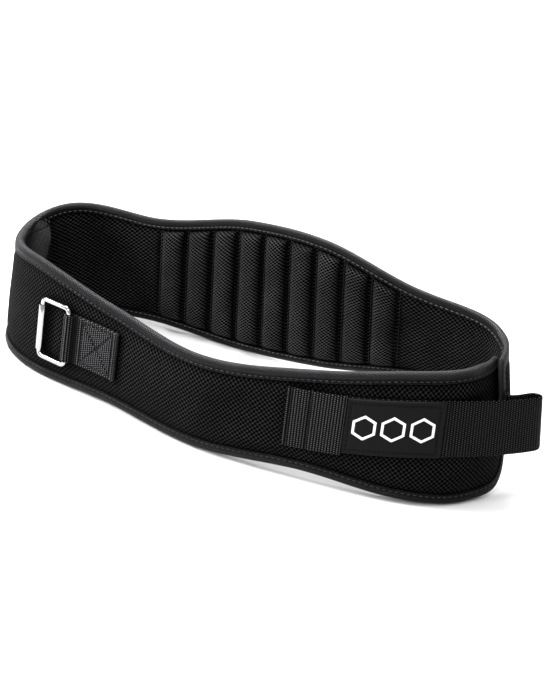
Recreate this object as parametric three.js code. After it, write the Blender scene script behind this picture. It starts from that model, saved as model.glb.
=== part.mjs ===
import * as THREE from 'three';

// A padded weightlifting belt, fastened to nothing, standing on its lower edge in the loop it keeps.
// Millimetres, +Z up. The long way of the loop lies along X, and the strap's side faces -Y.
// The origin is the middle of its footprint, on the surface it stands on.

// The belt laid out flat: its length from end to end, and its height at the small of the back
const BELT_LENGTH = 1234;
const LUMBAR_HEIGHT = 145;
// How far the far end laps over the near end, and how far its middle layer lies outside it
const END_OVERLAP = 26;
const END_STEP_OUT = 10.7;
const PANEL_THICKNESS = 10;
// Gap left between any two pieces that lie on each other
const CLEARANCE = 0.3;
// Both ends are pressed thinner by this share of their thickness where they lap, and the squeeze
// fades out over a length. The far end moves outwards by its shift, and the near end moves until
// the gap is left between the two.
const END_SQUEEZE = 0.4;
const SQUEEZE_FADE = 34;
const END_GAP = 0.9;
const FAR_END_SHIFT = 0.6;
const NEAR_END_SHIFT = END_STEP_OUT + FAR_END_SHIFT - PANEL_THICKNESS * (1 - END_SQUEEZE) - END_GAP;
// Direction of the belt at its near end, degrees from +X
const START_HEADING = 276;

// The belt's course and shape from the near end round to the far end. at: share of the length;
// turn: degrees that it bends in a tenth of the length; height and rise: its height and the height
// of its lower edge, as shares of the lumbar height; lean: degrees that it leans inwards.
const WALL_TABLE = [
  { at: 0.0, turn: 105, height: 0.815, rise: 0.025, lean: 11 },
  { at: 0.022, turn: 100, height: 0.81, rise: 0.015, lean: 11 },
  { at: 0.055, turn: 90, height: 0.835, rise: 0.001, lean: 6 },
  { at: 0.1, turn: 40, height: 0.79, rise: 0.018, lean: 5 },
  { at: 0.16, turn: 4, height: 0.655, rise: 0.06, lean: 3.5 },
  { at: 0.25, turn: 25, height: 0.6, rise: 0.006, lean: 3 },
  { at: 0.34, turn: -11, height: 0.64, rise: 0.017, lean: 6 },
  { at: 0.42, turn: 46, height: 0.765, rise: 0, lean: 6.5 },
  { at: 0.48, turn: 104, height: 0.74, rise: 0.013, lean: 5 },
  { at: 0.55, turn: 87, height: 0.85, rise: 0, lean: 1.5 },
  { at: 0.62, turn: 19, height: 0.795, rise: 0.018, lean: 1.5 },
  { at: 0.71, turn: 8, height: 0.992, rise: 0.003, lean: 4 },
  { at: 0.78, turn: -4, height: 0.965, rise: 0.085, lean: 8 },
  { at: 0.86, turn: 12, height: 0.68, rise: 0.25, lean: 12 },
  { at: 0.94, turn: 82, height: 0.62, rise: 0.28, lean: 10.5 },
  { at: 1.0, turn: 112, height: 0.52, rise: 0.31, lean: 11 },
];

const DEGREE = Math.PI / 180;

// Smooth curve through one column of the table
function tableValue(column, share) {
  const rows = WALL_TABLE;
  let i = 0;
  while (i < rows.length - 2 && share > rows[i + 1].at) i += 1;
  const slope = (k) => (rows[k + 1][column] - rows[k][column]) / (rows[k + 1].at - rows[k].at);
  const tangent = (k) => {
    if (k === 0) return slope(0);
    if (k === rows.length - 1) return slope(k - 1);
    const before = rows[k].at - rows[k - 1].at;
    const after = rows[k + 1].at - rows[k].at;
    return (slope(k - 1) * after + slope(k) * before) / (before + after);
  };
  const span = rows[i + 1].at - rows[i].at;
  const t = (share - rows[i].at) / span;
  const keep = (2 * t - 3) * t * t + 1;
  return keep * rows[i][column] + (1 - keep) * rows[i + 1][column]
    + (t - 1) ** 2 * t * span * tangent(i) + (t - 1) * t * t * span * tangent(i + 1);
}

// The belt's middle layer in plan, in small even steps. The bends are brought to one full turn
// between the two places that lie on each other, and the last error is spread along the belt.
const PLAN_STEPS = 617;
const TENTH = 10;

function planCourse() {
  const turned = [0];
  for (let i = 1; i <= PLAN_STEPS; i += 1) {
    const mid = (tableValue('turn', (i - 1) / PLAN_STEPS) + tableValue('turn', i / PLAN_STEPS)) / 2;
    turned.push(turned[i - 1] + mid * TENTH / PLAN_STEPS);
  }
  const lapStep = Math.round(END_OVERLAP / BELT_LENGTH * PLAN_STEPS);
  const toFullTurn = 360 / (turned[PLAN_STEPS] - turned[lapStep]);
  const headings = turned.map((t) => (START_HEADING - t * toFullTurn) * DEGREE);
  const stepLength = BELT_LENGTH / PLAN_STEPS;
  const course = [{ x: 0, y: 0, heading: headings[0] }];
  for (let i = 1; i <= PLAN_STEPS; i += 1) {
    const mid = (headings[i - 1] + headings[i]) / 2;
    course.push({
      x: course[i - 1].x + stepLength * Math.cos(mid),
      y: course[i - 1].y + stepLength * Math.sin(mid),
      heading: headings[i],
    });
  }
  const lap = course[lapStep];
  const last = course[PLAN_STEPS];
  const missX = lap.x - END_STEP_OUT * Math.sin(lap.heading) - last.x;
  const missY = lap.y + END_STEP_OUT * Math.cos(lap.heading) - last.y;
  return course.map((p, i) => ({
    x: p.x + missX * i / PLAN_STEPS,
    y: p.y + missY * i / PLAN_STEPS,
    heading: p.heading,
  }));
}

const COURSE = planCourse();

function courseAt(s) {
  const k = Math.min(Math.max(s / BELT_LENGTH * PLAN_STEPS, 0), PLAN_STEPS - 1e-6);
  const i = Math.floor(k);
  const a = COURSE[i];
  const b = COURSE[i + 1];
  const t = k - i;
  return {
    x: a.x + (b.x - a.x) * t,
    y: a.y + (b.y - a.y) * t,
    heading: a.heading + (b.heading - a.heading) * t,
  };
}

// Share of the end squeeze at a distance from an end
function squeezeShare(fromEnd) {
  const t = Math.min(Math.max((END_OVERLAP + SQUEEZE_FADE - fromEnd) / SQUEEZE_FADE, 0), 1);
  return t * t * (3 - 2 * t);
}

// A point of the wall: s along the belt, z above the surface, out from the middle layer. The
// squeeze acts within the panel's thickness, and what lies on the panel moves with its face.
function wallPoint(s, out, z) {
  const c = courseAt(s);
  const lean = Math.tan(tableValue('lean', s / BELT_LENGTH) * DEGREE);
  const near = squeezeShare(s);
  const far = squeezeShare(BELT_LENGTH - s);
  const within = Math.min(Math.max(out, -PANEL_THICKNESS / 2), PANEL_THICKNESS / 2);
  const pressed = END_SQUEEZE * (near + far) * within;
  const away = out - pressed + NEAR_END_SHIFT * near + FAR_END_SHIFT * far - z * lean;
  return new THREE.Vector3(c.x - away * Math.sin(c.heading), c.y + away * Math.cos(c.heading), z);
}

const lowerEdge = (s) => tableValue('rise', s / BELT_LENGTH) * LUMBAR_HEIGHT;
const upperEdge = (s) => lowerEdge(s) + tableValue('height', s / BELT_LENGTH) * LUMBAR_HEIGHT;

// A flat shape, with x along the belt, y out from the middle layer and z up, bent onto the wall
function layOnWall(geometry) {
  const flat = geometry.attributes.position;
  for (let i = 0; i < flat.count; i += 1) {
    const p = wallPoint(flat.getX(i), flat.getY(i), flat.getZ(i));
    flat.setXYZ(i, p.x, p.y, p.z);
  }
  return geometry;
}

// Skin through rings of points. A loop joins the last ring to the first; otherwise each end is
// closed by strips from the first half of the ring across to its second half.
function skin(rings, isLoop) {
  const count = rings[0].length;
  const positions = [];
  rings.forEach((ring) => ring.forEach((p) => positions.push(p.x, p.y, p.z)));
  const index = [];
  const quad = (a, b, c, d) => index.push(a, b, c, a, c, d);
  for (let i = 0; i < rings.length - (isLoop ? 0 : 1); i += 1) {
    const here = i * count;
    const next = ((i + 1) % rings.length) * count;
    for (let j = 0; j < count; j += 1) {
      const k = (j + 1) % count;
      quad(here + j, here + k, next + k, next + j);
    }
  }
  if (!isLoop) {
    const far = (rings.length - 1) * count;
    for (let j = 0; j < count / 2 - 1; j += 1) {
      const k = count - 1 - j;
      quad(j + 1, j, k, k - 1);
      quad(far + j, far + j + 1, far + k - 1, far + k);
    }
  }
  const geometry = new THREE.BufferGeometry();
  geometry.setAttribute('position', new THREE.Float32BufferAttribute(positions, 3));
  geometry.setIndex(signedVolume(positions, index) < 0 ? index.reverse() : index);
  geometry.computeVertexNormals();
  return geometry;
}

function signedVolume(positions, index) {
  const a = new THREE.Vector3();
  const b = new THREE.Vector3();
  const c = new THREE.Vector3();
  let sum = 0;
  for (let i = 0; i < index.length; i += 3) {
    a.fromArray(positions, index[i] * 3);
    b.fromArray(positions, index[i + 1] * 3);
    c.fromArray(positions, index[i + 2] * 3);
    sum += a.dot(b.cross(c));
  }
  return sum;
}

// Places along the belt where the panel and its binding are both cut into facets: a facet bends
// by no more than MAX_FACET_TURN, and none is shorter or longer than the two limits
const MAX_FACET_TURN = 7;
const MIN_FACET = 6;
const MAX_FACET = 24;
const END_ZONE = 40;

function stationsBetween(from, to) {
  const stations = [from];
  let s = from;
  while (to - s > MAX_FACET / 2) {
    const tight = Math.max(Math.abs(tableValue('turn', s / BELT_LENGTH)),
      Math.abs(tableValue('turn', Math.min(1, (s + MAX_FACET) / BELT_LENGTH))));
    const facet = MAX_FACET_TURN / tight * BELT_LENGTH / TENTH;
    s += Math.min(Math.max(facet, MIN_FACET), MAX_FACET);
    stations.push(s);
  }
  stations[stations.length - 1] = to;
  return stations;
}

const MIDDLE_STATIONS = stationsBetween(END_ZONE, BELT_LENGTH - END_ZONE);

// Edge binding: a folded tape round the whole outline. out: from the middle layer; deep: from the
// outline inwards. It is listed from the outer face's inner border over the edge and back.
const TAPE_WIDTH = 9.3;
const BINDING_SECTION = [
  { out: 4.5, deep: TAPE_WIDTH },
  { out: 4.5, deep: 3.4 },
  { out: 3.4, deep: 1.1 },
  { out: 1.4, deep: 0 },
  { out: -1.4, deep: 0 },
  { out: -3.4, deep: 1.1 },
  { out: -4.5, deep: 3.4 },
  { out: -4.5, deep: TAPE_WIDTH },
  { out: -3.4, deep: TAPE_WIDTH },
  { out: -3.4, deep: 3.8 },
  { out: -1.3, deep: 1.2 },
  { out: 1.3, deep: 1.2 },
  { out: 3.4, deep: 3.8 },
  { out: 3.4, deep: TAPE_WIDTH },
];

// Rounded corners of the two ends
const NEAR_LOWER_RADIUS = 38;
const NEAR_UPPER_RADIUS = 24;
const FAR_LOWER_RADIUS = 14;
const FAR_UPPER_RADIUS = 6;
const CORNER_FACETS = 5;
const NEAR_CORNER_FACETS = 8;

// The outline as places with the direction that leads into the panel
function outlinePlaces() {
  const places = [];
  const along = (stations, edge, inward) => stations.forEach((s) => {
    places.push({ s, z: edge(s), inS: 0, inZ: inward });
  });
  const corner = (end, toMiddle, edge, inward, radius, facets, fromEdge) => {
    for (let i = 0; i <= facets; i += 1) {
      const angle = (fromEdge ? i : facets - i) / facets * Math.PI / 2;
      const s = end + toMiddle * radius * (1 - Math.sin(angle));
      const z = edge(s) + inward * radius * (1 - Math.cos(angle));
      places.push({ s, z, inS: toMiddle * Math.sin(angle), inZ: inward * Math.cos(angle) });
    }
  };
  along(MIDDLE_STATIONS, lowerEdge, 1);
  along(endSteps(FAR_LOWER_RADIUS).map((d) => BELT_LENGTH - d).reverse(), lowerEdge, 1);
  corner(BELT_LENGTH, -1, lowerEdge, 1, FAR_LOWER_RADIUS, CORNER_FACETS, true);
  corner(BELT_LENGTH, -1, upperEdge, -1, FAR_UPPER_RADIUS, CORNER_FACETS, false);
  along(endSteps(FAR_UPPER_RADIUS).map((d) => BELT_LENGTH - d), upperEdge, -1);
  along([...MIDDLE_STATIONS].reverse(), upperEdge, -1);
  along(endSteps(NEAR_UPPER_RADIUS).reverse(), upperEdge, -1);
  corner(0, 1, upperEdge, -1, NEAR_UPPER_RADIUS, NEAR_CORNER_FACETS, true);
  corner(0, 1, lowerEdge, 1, NEAR_LOWER_RADIUS, NEAR_CORNER_FACETS, false);
  along(endSteps(NEAR_LOWER_RADIUS), lowerEdge, 1);
  return places;
}

// How far the panel's own edge lies inside the outline
const PANEL_INSET = 1.5;
// Distances from an end where the panel's facets meet; the binding uses those past its corner
const END_STEPS = [PANEL_INSET, 4, 7, 11, 18, 25, 32];
const SHORTEST_END_FACET = 1;

function endSteps(radius) {
  return END_STEPS.filter((d) => d > radius + SHORTEST_END_FACET);
}

function edgeBinding() {
  const rings = outlinePlaces().map((place) => BINDING_SECTION.map((q) => (
    wallPoint(place.s + place.inS * q.deep, q.out, place.z + place.inZ * q.deep)
  )));
  return skin(rings, true);
}

// The foam panel's half thickness by the distance from the outline: thin where the tape folds
// over it and full beyond. from: distance inwards; half: half thickness.
const PANEL_PROFILE = [
  { from: PANEL_INSET, half: 1.1 },
  { from: 4, half: 3 },
  { from: 11, half: 3 },
  { from: 18, half: PANEL_THICKNESS / 2 },
];

function halfThickness(distance) {
  let last = PANEL_PROFILE[0];
  for (const row of PANEL_PROFILE) {
    if (distance < row.from) {
      const t = Math.max(0, (distance - last.from) / (row.from - last.from));
      return last.half + (row.half - last.half) * t;
    }
    last = row;
  }
  return last.half;
}

// Distance of a place on the flat panel from its outline, and the outline's own inset edge
function cornerDepth(fromEnd, fromEdge, radius) {
  if (fromEnd >= radius || fromEdge >= radius) return Math.min(fromEnd, fromEdge);
  return radius - Math.hypot(radius - fromEnd, radius - fromEdge);
}

function outlineDistance(s, z) {
  const below = z - lowerEdge(s);
  const above = upperEdge(s) - z;
  const left = BELT_LENGTH - s;
  return Math.min(
    cornerDepth(s, below, NEAR_LOWER_RADIUS), cornerDepth(s, above, NEAR_UPPER_RADIUS),
    cornerDepth(left, below, FAR_LOWER_RADIUS), cornerDepth(left, above, FAR_UPPER_RADIUS),
  );
}

function insetEdge(s, nearRadius, farRadius) {
  const edge = (fromEnd, radius) => {
    if (fromEnd >= radius) return PANEL_INSET;
    const left = (radius - PANEL_INSET) ** 2 - (radius - fromEnd) ** 2;
    return radius - Math.sqrt(Math.max(left, 0));
  };
  return Math.max(edge(s, nearRadius), edge(BELT_LENGTH - s, farRadius));
}

// The padded fold where the inner face buckles in the left bend: a ridge that swells slowly from
// one side and drops sharply at the other
const BUCKLE = { edge: 634, shift: 0.35, middle: 80, reach: 22, swell: 44, drop: 9, depth: 10 };

function buckleDepth(s, z) {
  const up = (z - BUCKLE.middle) / BUCKLE.reach;
  const across = s - BUCKLE.edge - BUCKLE.shift * (z - BUCKLE.middle);
  const side = across < 0 ? across / BUCKLE.swell : across / BUCKLE.drop;
  if (Math.abs(up) > 1 || Math.abs(side) > 1) return 0;
  return BUCKLE.depth * (1 - up * up) * Math.cos(side * Math.PI / 2) ** 2;
}

// Heights of the facets above the panel's lower edge and below its upper edge
const EDGE_ROWS = [0, 2.5, 9.5, 16.5];
const MIDDLE_ROWS = [0.25, 0.5, 0.75];

function paddedPanel() {
  const stations = [
    ...END_STEPS, ...MIDDLE_STATIONS, ...END_STEPS.map((d) => BELT_LENGTH - d).reverse(),
  ];
  const rings = stations.map((s) => {
    const low = lowerEdge(s) + insetEdge(s, NEAR_LOWER_RADIUS, FAR_LOWER_RADIUS);
    const high = upperEdge(s) - insetEdge(s, NEAR_UPPER_RADIUS, FAR_UPPER_RADIUS);
    const inner = EDGE_ROWS[EDGE_ROWS.length - 1];
    const heights = [
      ...EDGE_ROWS.map((d) => low + d),
      ...MIDDLE_ROWS.map((t) => low + inner + (high - low - 2 * inner) * t),
      ...EDGE_ROWS.map((d) => high - d).reverse(),
    ];
    const outer = heights.map((z) => wallPoint(s, halfThickness(outlineDistance(s, z)), z));
    const behind = heights.map((z) => (
      wallPoint(s, -halfThickness(outlineDistance(s, z)) - buckleDepth(s, z), z)
    ));
    return [...outer, ...behind.reverse()];
  });
  return skin(rings, false);
}

// Rib pads: nine upright pillows sewn on the inner face, between ten channels
const RIB_COUNT = 9;
const FIRST_CHANNEL = 774;
const RIB_PITCH = 30;
const CHANNEL_WIDTH = 5.4;
const RIB_THICKNESS = 5;
const RIB_FROM_EDGE = TAPE_WIDTH + 4;
// across: from the pad's middle, as a share of half its width; lift: share of its thickness
const RIB_SECTION = [
  { across: -1, lift: 0.3 },
  { across: -0.82, lift: 0.8 },
  { across: -0.4, lift: 1 },
  { across: 0.4, lift: 1 },
  { across: 0.82, lift: 0.8 },
  { across: 1, lift: 0.3 },
];
// in: from the pad's end; size: share of the full thickness
const RIB_END = [
  { in: 0, size: 0.35 },
  { in: 2.5, size: 0.8 },
  { in: 8, size: 1 },
];

function ribPad(number) {
  const middle = FIRST_CHANNEL + RIB_PITCH * (number + 0.5);
  const half = (RIB_PITCH - CHANNEL_WIDTH) / 2;
  const back = -(PANEL_THICKNESS / 2 + CLEARANCE);
  const front = (s, lift) => back - RIB_THICKNESS * lift;
  const rows = (q) => [...RIB_END.map((e) => q(e, 1)), ...RIB_END.map((e) => q(e, -1)).reverse()];
  const rings = rows((e, side) => {
    const fromEdge = side * (RIB_FROM_EDGE + e.in);
    const place = (s) => (side > 0 ? lowerEdge(s) : upperEdge(s)) + fromEdge;
    const face = RIB_SECTION.map((q) => {
      const s = middle + half * q.across;
      return wallPoint(s, front(s, q.lift * e.size), place(s));
    });
    const rear = RIB_SECTION.map((q) => {
      const s = middle + half * q.across;
      return wallPoint(s, back, place(s));
    });
    return [...face, ...rear.reverse()];
  });
  return skin(rings, false);
}

// Ring: one bent wire, hinged in the webbing loop by its inner bar, with a roller on its outer bar
const WIRE_DIAMETER = 4.8;
const RING_BARS_APART = 33;
const RING_INSIDE_HEIGHT = 51;
const RING_CORNER_RADIUS = 4.6;
const HINGE_AT = 462;
const RING_MIDDLE_Z = 52.5;
const LOOP_CLEARANCE = 0.4;
const WEBBING_THICKNESS = 1.5;
const HINGE_OUT = PANEL_THICKNESS / 2 + CLEARANCE + WEBBING_THICKNESS + LOOP_CLEARANCE
  + WIRE_DIAMETER / 2;
const ROLLER_DIAMETER = 7.2;
const ROLLER_CLEARANCE = 0.3;
const ROLLER_LENGTH = 44;
const ROLLER_CHAMFER = 0.3;
const ROLLER_OFF_WALL = 0.9;
const ROLLER_OUT = PANEL_THICKNESS / 2 + ROLLER_DIAMETER / 2 + ROLLER_OFF_WALL;
const ROLLER_SIDES = 16;
const WIRE_SIDES = 10;
const RING_CORNER_FACETS = 4;

// Place of the ring on the wall: its hinge line is up, the ring reaches away from it along x
const ringPlace = (() => {
  const half = RING_INSIDE_HEIGHT / 2;
  const origin = wallPoint(HINGE_AT, HINGE_OUT, RING_MIDDLE_Z);
  const up = wallPoint(HINGE_AT, HINGE_OUT, RING_MIDDLE_Z + half)
    .sub(wallPoint(HINGE_AT, HINGE_OUT, RING_MIDDLE_Z - half)).normalize();
  const away = wallPoint(HINGE_AT + RING_BARS_APART, ROLLER_OUT, RING_MIDDLE_Z).sub(origin);
  away.addScaledVector(up, -away.dot(up)).normalize();
  const side = new THREE.Vector3().crossVectors(up, away);
  return new THREE.Matrix4().makeBasis(away, side, up).setPosition(origin);
})();

function ringWire() {
  const halfHeight = (RING_INSIDE_HEIGHT + WIRE_DIAMETER) / 2;
  const r = RING_CORNER_RADIUS;
  const corners = [
    { x: RING_BARS_APART - r, z: halfHeight - r },
    { x: r, z: halfHeight - r },
    { x: r, z: -halfHeight + r },
    { x: RING_BARS_APART - r, z: -halfHeight + r },
  ];
  const rings = [];
  corners.forEach((c, quarter) => {
    for (let i = 0; i <= RING_CORNER_FACETS; i += 1) {
      const angle = (quarter + i / RING_CORNER_FACETS) * Math.PI / 2;
      const outX = Math.cos(angle);
      const outZ = Math.sin(angle);
      const ring = [];
      for (let k = 0; k < WIRE_SIDES; k += 1) {
        const round = 2 * Math.PI * k / WIRE_SIDES;
        const reach = r + WIRE_DIAMETER / 2 * Math.cos(round);
        const y = WIRE_DIAMETER / 2 * Math.sin(round);
        ring.push(new THREE.Vector3(c.x + reach * outX, y, c.z + reach * outZ));
      }
      rings.push(ring);
    }
  });
  return skin(rings, true).applyMatrix4(ringPlace);
}

function ringRoller() {
  const bore = WIRE_DIAMETER / 2 + ROLLER_CLEARANCE;
  const half = ROLLER_LENGTH / 2;
  const outer = ROLLER_DIAMETER / 2;
  const profile = [
    [bore, -half], [outer - ROLLER_CHAMFER, -half], [outer, -half + ROLLER_CHAMFER],
    [outer, half - ROLLER_CHAMFER], [outer - ROLLER_CHAMFER, half], [bore, half], [bore, -half],
  ].map(([x, y]) => new THREE.Vector2(x, y));
  const geometry = new THREE.LatheGeometry(profile, ROLLER_SIDES);
  geometry.rotateX(Math.PI / 2);
  geometry.translate(RING_BARS_APART, 0, 0);
  return geometry.applyMatrix4(ringPlace);
}

// Webbing that holds the ring: folded round its inner bar, both layers sewn on the outer face as
// a patch. The bar's tunnel is drawn with a tail where the two layers come together.
const PATCH_LENGTH = 60;
const PATCH_FROM = HINGE_AT - PATCH_LENGTH;
const WEBBING_HEIGHT = 46;
// The patch's far end is turned in, which stands up as a flat fold with a sloping edge
const PATCH_FOLD = 4;
const PATCH_FOLD_RISE = 1;
// The webbing goes round the bar by this turn, degrees, and then runs straight to the tails' tips,
// which lie this far from the bar's axis as shares of the two radii
const LOOP_TURN = 220;
const OUTER_TAIL = 2.6;
const TUNNEL_TAIL = 2.9;
const TAIL_HEIGHT = 0.1;
const LOOP_FACETS = 8;

function ringLoop() {
  const back = PANEL_THICKNESS / 2 + CLEARANCE;
  const face = back + 2 * WEBBING_THICKNESS;
  const tunnel = WIRE_DIAMETER / 2 + LOOP_CLEARANCE;
  const outside = tunnel + WEBBING_THICKNESS;
  const middle = (PATCH_FROM + HINGE_AT) / 2;
  const roundBar = (path, radius) => {
    for (let i = 0; i <= LOOP_FACETS; i += 1) {
      const angle = (LOOP_TURN * i / LOOP_FACETS - 90) * DEGREE;
      path.lineTo(HINGE_AT + radius * Math.cos(angle), HINGE_OUT + radius * Math.sin(angle));
    }
  };
  const shape = new THREE.Shape();
  shape.moveTo(PATCH_FROM, back);
  shape.lineTo(middle, back);
  roundBar(shape, outside);
  shape.lineTo(HINGE_AT - OUTER_TAIL * outside, face);
  shape.lineTo(middle, face);
  shape.lineTo(PATCH_FROM + PATCH_FOLD, face);
  shape.lineTo(PATCH_FROM + PATCH_FOLD - PATCH_FOLD_RISE, face + PATCH_FOLD_RISE);
  shape.lineTo(PATCH_FROM, face + PATCH_FOLD_RISE);
  const hole = new THREE.Path();
  hole.moveTo(HINGE_AT - TUNNEL_TAIL * tunnel, back + WEBBING_THICKNESS + TAIL_HEIGHT);
  roundBar(hole, tunnel);
  shape.holes.push(hole);
  const geometry = new THREE.ExtrudeGeometry(shape, { depth: WEBBING_HEIGHT, bevelEnabled: false });
  geometry.translate(0, 0, RING_MIDDLE_Z - WEBBING_HEIGHT / 2);
  return layOnWall(geometry);
}

// Closing strap: webbing sewn to the far end's outer face. It turns back over that end's edge, runs
// out past the bend, folds round and lies along the near end's face, with a free end.
const STRAP_WIDTH = 51;
const STRAP_THICKNESS = 1.8;
const STRAP_OUT = PANEL_THICKNESS / 2 + CLEARANCE + STRAP_THICKNESS / 2;
const STRAP_FREE_END = 224;
const STRAP_LEAVES_AT = 86;
const STRAP_SEWN_LENGTH = 14;
// The height of the strap's middle line on the near wall, in even steps from its free end to the
// place where it leaves the wall
const STRAP_LAID_HEIGHTS = [59.5, 60.5, 62.5, 65.5, 68.5, 71, 72];
// and where it stands free of the wall, round the fold and back: along is the distance past the
// place where it leaves the wall, in the distance inwards from its own direction there
const STRAP_LOOP = [
  { along: 20, in: 0.8, z: 71.5 },
  { along: 40, in: 2.6, z: 71 },
  { along: 57, in: 5, z: 70.5 },
  { along: 74, in: 8.4, z: 70 },
  { along: 83.5, in: 12, z: 69.5 },
  { along: 86.5, in: 17, z: 69 },
  { along: 82, in: 21.4, z: 68 },
  { along: 70, in: 21.4, z: 66 },
];
const STRAP_TIP_ROW = 5;
const STRAP_CREASE_RADIUS = 1.2;
const STRAP_CREASE_TURN = 155;
const STRAP_SEWN_Z = 66.5;
const STRAP_CREASE_STEPS = 4;
const STRAP_LAID_STEPS = 15;
const STRAP_LOOP_STEPS = 26;
const STRAP_TIP_LEAN = 8;

const wallSlope = (s, z) => wallPoint(s, 0, z + 1).sub(wallPoint(s, 0, z));

// Height of the laid stretch's middle line, straight from one listed height to the next
function strapMiddle(s) {
  const last = STRAP_LAID_HEIGHTS.length - 1;
  const k = (STRAP_FREE_END - s) / (STRAP_FREE_END - STRAP_LEAVES_AT) * last;
  const i = Math.min(Math.max(Math.floor(k), 0), last - 1);
  const z = STRAP_LAID_HEIGHTS[i];
  return z + (STRAP_LAID_HEIGHTS[i + 1] - z) * (k - i);
}

// The strap's middle line with the slope of its width at each point, from the free end
function strapCourse() {
  const laid = [];
  for (let i = 0; i <= STRAP_LAID_STEPS; i += 1) {
    const s = STRAP_FREE_END + (STRAP_LEAVES_AT - STRAP_FREE_END) * i / STRAP_LAID_STEPS;
    const z = strapMiddle(s);
    laid.push({ mid: wallPoint(s, STRAP_OUT, z), slope: wallSlope(s, z) });
  }
  const creaseAt = BELT_LENGTH - 2 * STRAP_CREASE_RADIUS;
  const sewn = [];
  for (let i = 0; i <= STRAP_CREASE_STEPS; i += 1) {
    const angle = STRAP_CREASE_TURN * (1 - i / STRAP_CREASE_STEPS) * DEGREE;
    const s = creaseAt + STRAP_CREASE_RADIUS * Math.sin(angle);
    const out = STRAP_OUT + STRAP_CREASE_RADIUS * (1 - Math.cos(angle));
    sewn.push({ mid: wallPoint(s, out, STRAP_SEWN_Z), slope: wallSlope(s, STRAP_SEWN_Z) });
  }
  [BELT_LENGTH - STRAP_SEWN_LENGTH / 2, BELT_LENGTH - STRAP_SEWN_LENGTH].forEach((s) => {
    sewn.push({ mid: wallPoint(s, STRAP_OUT, STRAP_SEWN_Z), slope: wallSlope(s, STRAP_SEWN_Z) });
  });
  const last = laid[laid.length - 1];
  const before = wallPoint(STRAP_LEAVES_AT + 1, STRAP_OUT, last.mid.z);
  const along = last.mid.clone().sub(before).normalize();
  const inward = new THREE.Vector3(-along.y, along.x, 0);
  const free = STRAP_LOOP.map((q) => last.mid.clone().addScaledVector(along, q.along)
    .addScaledVector(inward, q.in).setZ(q.z));
  const curve = new THREE.CatmullRomCurve3(
    [laid[laid.length - 2].mid, last.mid, ...free, sewn[0].mid, sewn[1].mid], false, 'centripetal',
  );
  const tipLean = Math.tan(STRAP_TIP_LEAN * DEGREE);
  const tipSlope = new THREE.Vector3(0, 0, 1).addScaledVector(along, -tipLean);
  const knots = curve.points.length - 1;
  const tipKnot = (STRAP_TIP_ROW + 2) / knots;
  const loop = [];
  for (let i = 1; i < STRAP_LOOP_STEPS; i += 1) {
    const t = (1 + (knots - 2) * i / STRAP_LOOP_STEPS) / knots;
    const toTip = t < tipKnot ? t / tipKnot : (1 - t) / (1 - tipKnot);
    const base = t < tipKnot ? last.slope : sewn[0].slope;
    loop.push({ mid: curve.getPoint(t), slope: base.clone().lerp(tipSlope, toTip) });
  }
  return [...laid, ...loop, ...sewn];
}

function strap() {
  const course = strapCourse();
  const rings = course.map((p, i) => {
    const before = course[Math.max(i - 1, 0)].mid;
    const after = course[Math.min(i + 1, course.length - 1)].mid;
    const run = after.clone().sub(before).setZ(0).normalize();
    const out = new THREE.Vector3(run.y, -run.x, 0);
    const corner = (up, side) => p.mid.clone()
      .addScaledVector(p.slope, up * STRAP_WIDTH / 2)
      .addScaledVector(out, side * STRAP_THICKNESS / 2);
    return [corner(-1, 1), corner(1, 1), corner(1, -1), corner(-1, -1)];
  });
  return skin(rings, false);
}

// Flat pieces on the strap's outer face: the free end's doubled hem, and the label, sewn on from
// the hem nearly to the place where the strap leaves the wall
const STRAP_FACE = STRAP_OUT + STRAP_THICKNESS / 2;
const HEM_FROM_TIP = 1;
const HEM_LENGTH = 51;
const LABEL_FROM_HEM = 0.5;
const LABEL_FROM_BEND = 5;
const HEM_TO = STRAP_FREE_END - HEM_FROM_TIP;
const HEM = { from: HEM_TO - HEM_LENGTH, to: HEM_TO, height: 54, thickness: 1.6 };
const LABEL = {
  from: STRAP_LEAVES_AT + LABEL_FROM_BEND, to: HEM.from - LABEL_FROM_HEM,
  height: 50, thickness: 1.4,
};
const SLAB_STEPS = 8;

function slabOnStrap(size) {
  const back = STRAP_FACE + CLEARANCE;
  const face = back + size.thickness;
  const rings = [];
  for (let i = 0; i <= SLAB_STEPS; i += 1) {
    const s = size.from + (size.to - size.from) * i / SLAB_STEPS;
    const low = strapMiddle(s) - size.height / 2;
    const high = strapMiddle(s) + size.height / 2;
    rings.push([
      wallPoint(s, face, low), wallPoint(s, face, high),
      wallPoint(s, back, high), wallPoint(s, back, low),
    ]);
  }
  return skin(rings, false);
}

const FINISHES = {
  air_mesh: { color: 0x141414, roughness: 0.9 },
  binding_tape: { color: 0x36363a, roughness: 0.6 },
  webbing: { color: 0x232326, roughness: 0.8 },
  label: { color: 0x262628, roughness: 0.5 },
  chrome: { color: 0xe0e0e4, roughness: 0.1, metalness: 1 },
};

const belt = new THREE.Group();
belt.name = 'weightlifting_belt';

function addPiece(name, geometry, finish) {
  const material = new THREE.MeshStandardMaterial({ name: finish, ...FINISHES[finish] });
  const mesh = new THREE.Mesh(geometry, material);
  mesh.name = name;
  belt.add(mesh);
}

addPiece('padded_panel', paddedPanel(), 'air_mesh');
addPiece('edge_binding', edgeBinding(), 'binding_tape');
for (let i = 0; i < RIB_COUNT; i += 1) {
  addPiece(`rib_pad_${i + 1}`, ribPad(i), 'air_mesh');
}
addPiece('ring_loop', ringLoop(), 'webbing');
addPiece('ring_wire', ringWire(), 'chrome');
addPiece('ring_roller', ringRoller(), 'chrome');
addPiece('strap', strap(), 'webbing');
addPiece('strap_hem', slabOnStrap(HEM), 'webbing');
addPiece('label_patch', slabOnStrap(LABEL), 'label');

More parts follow.
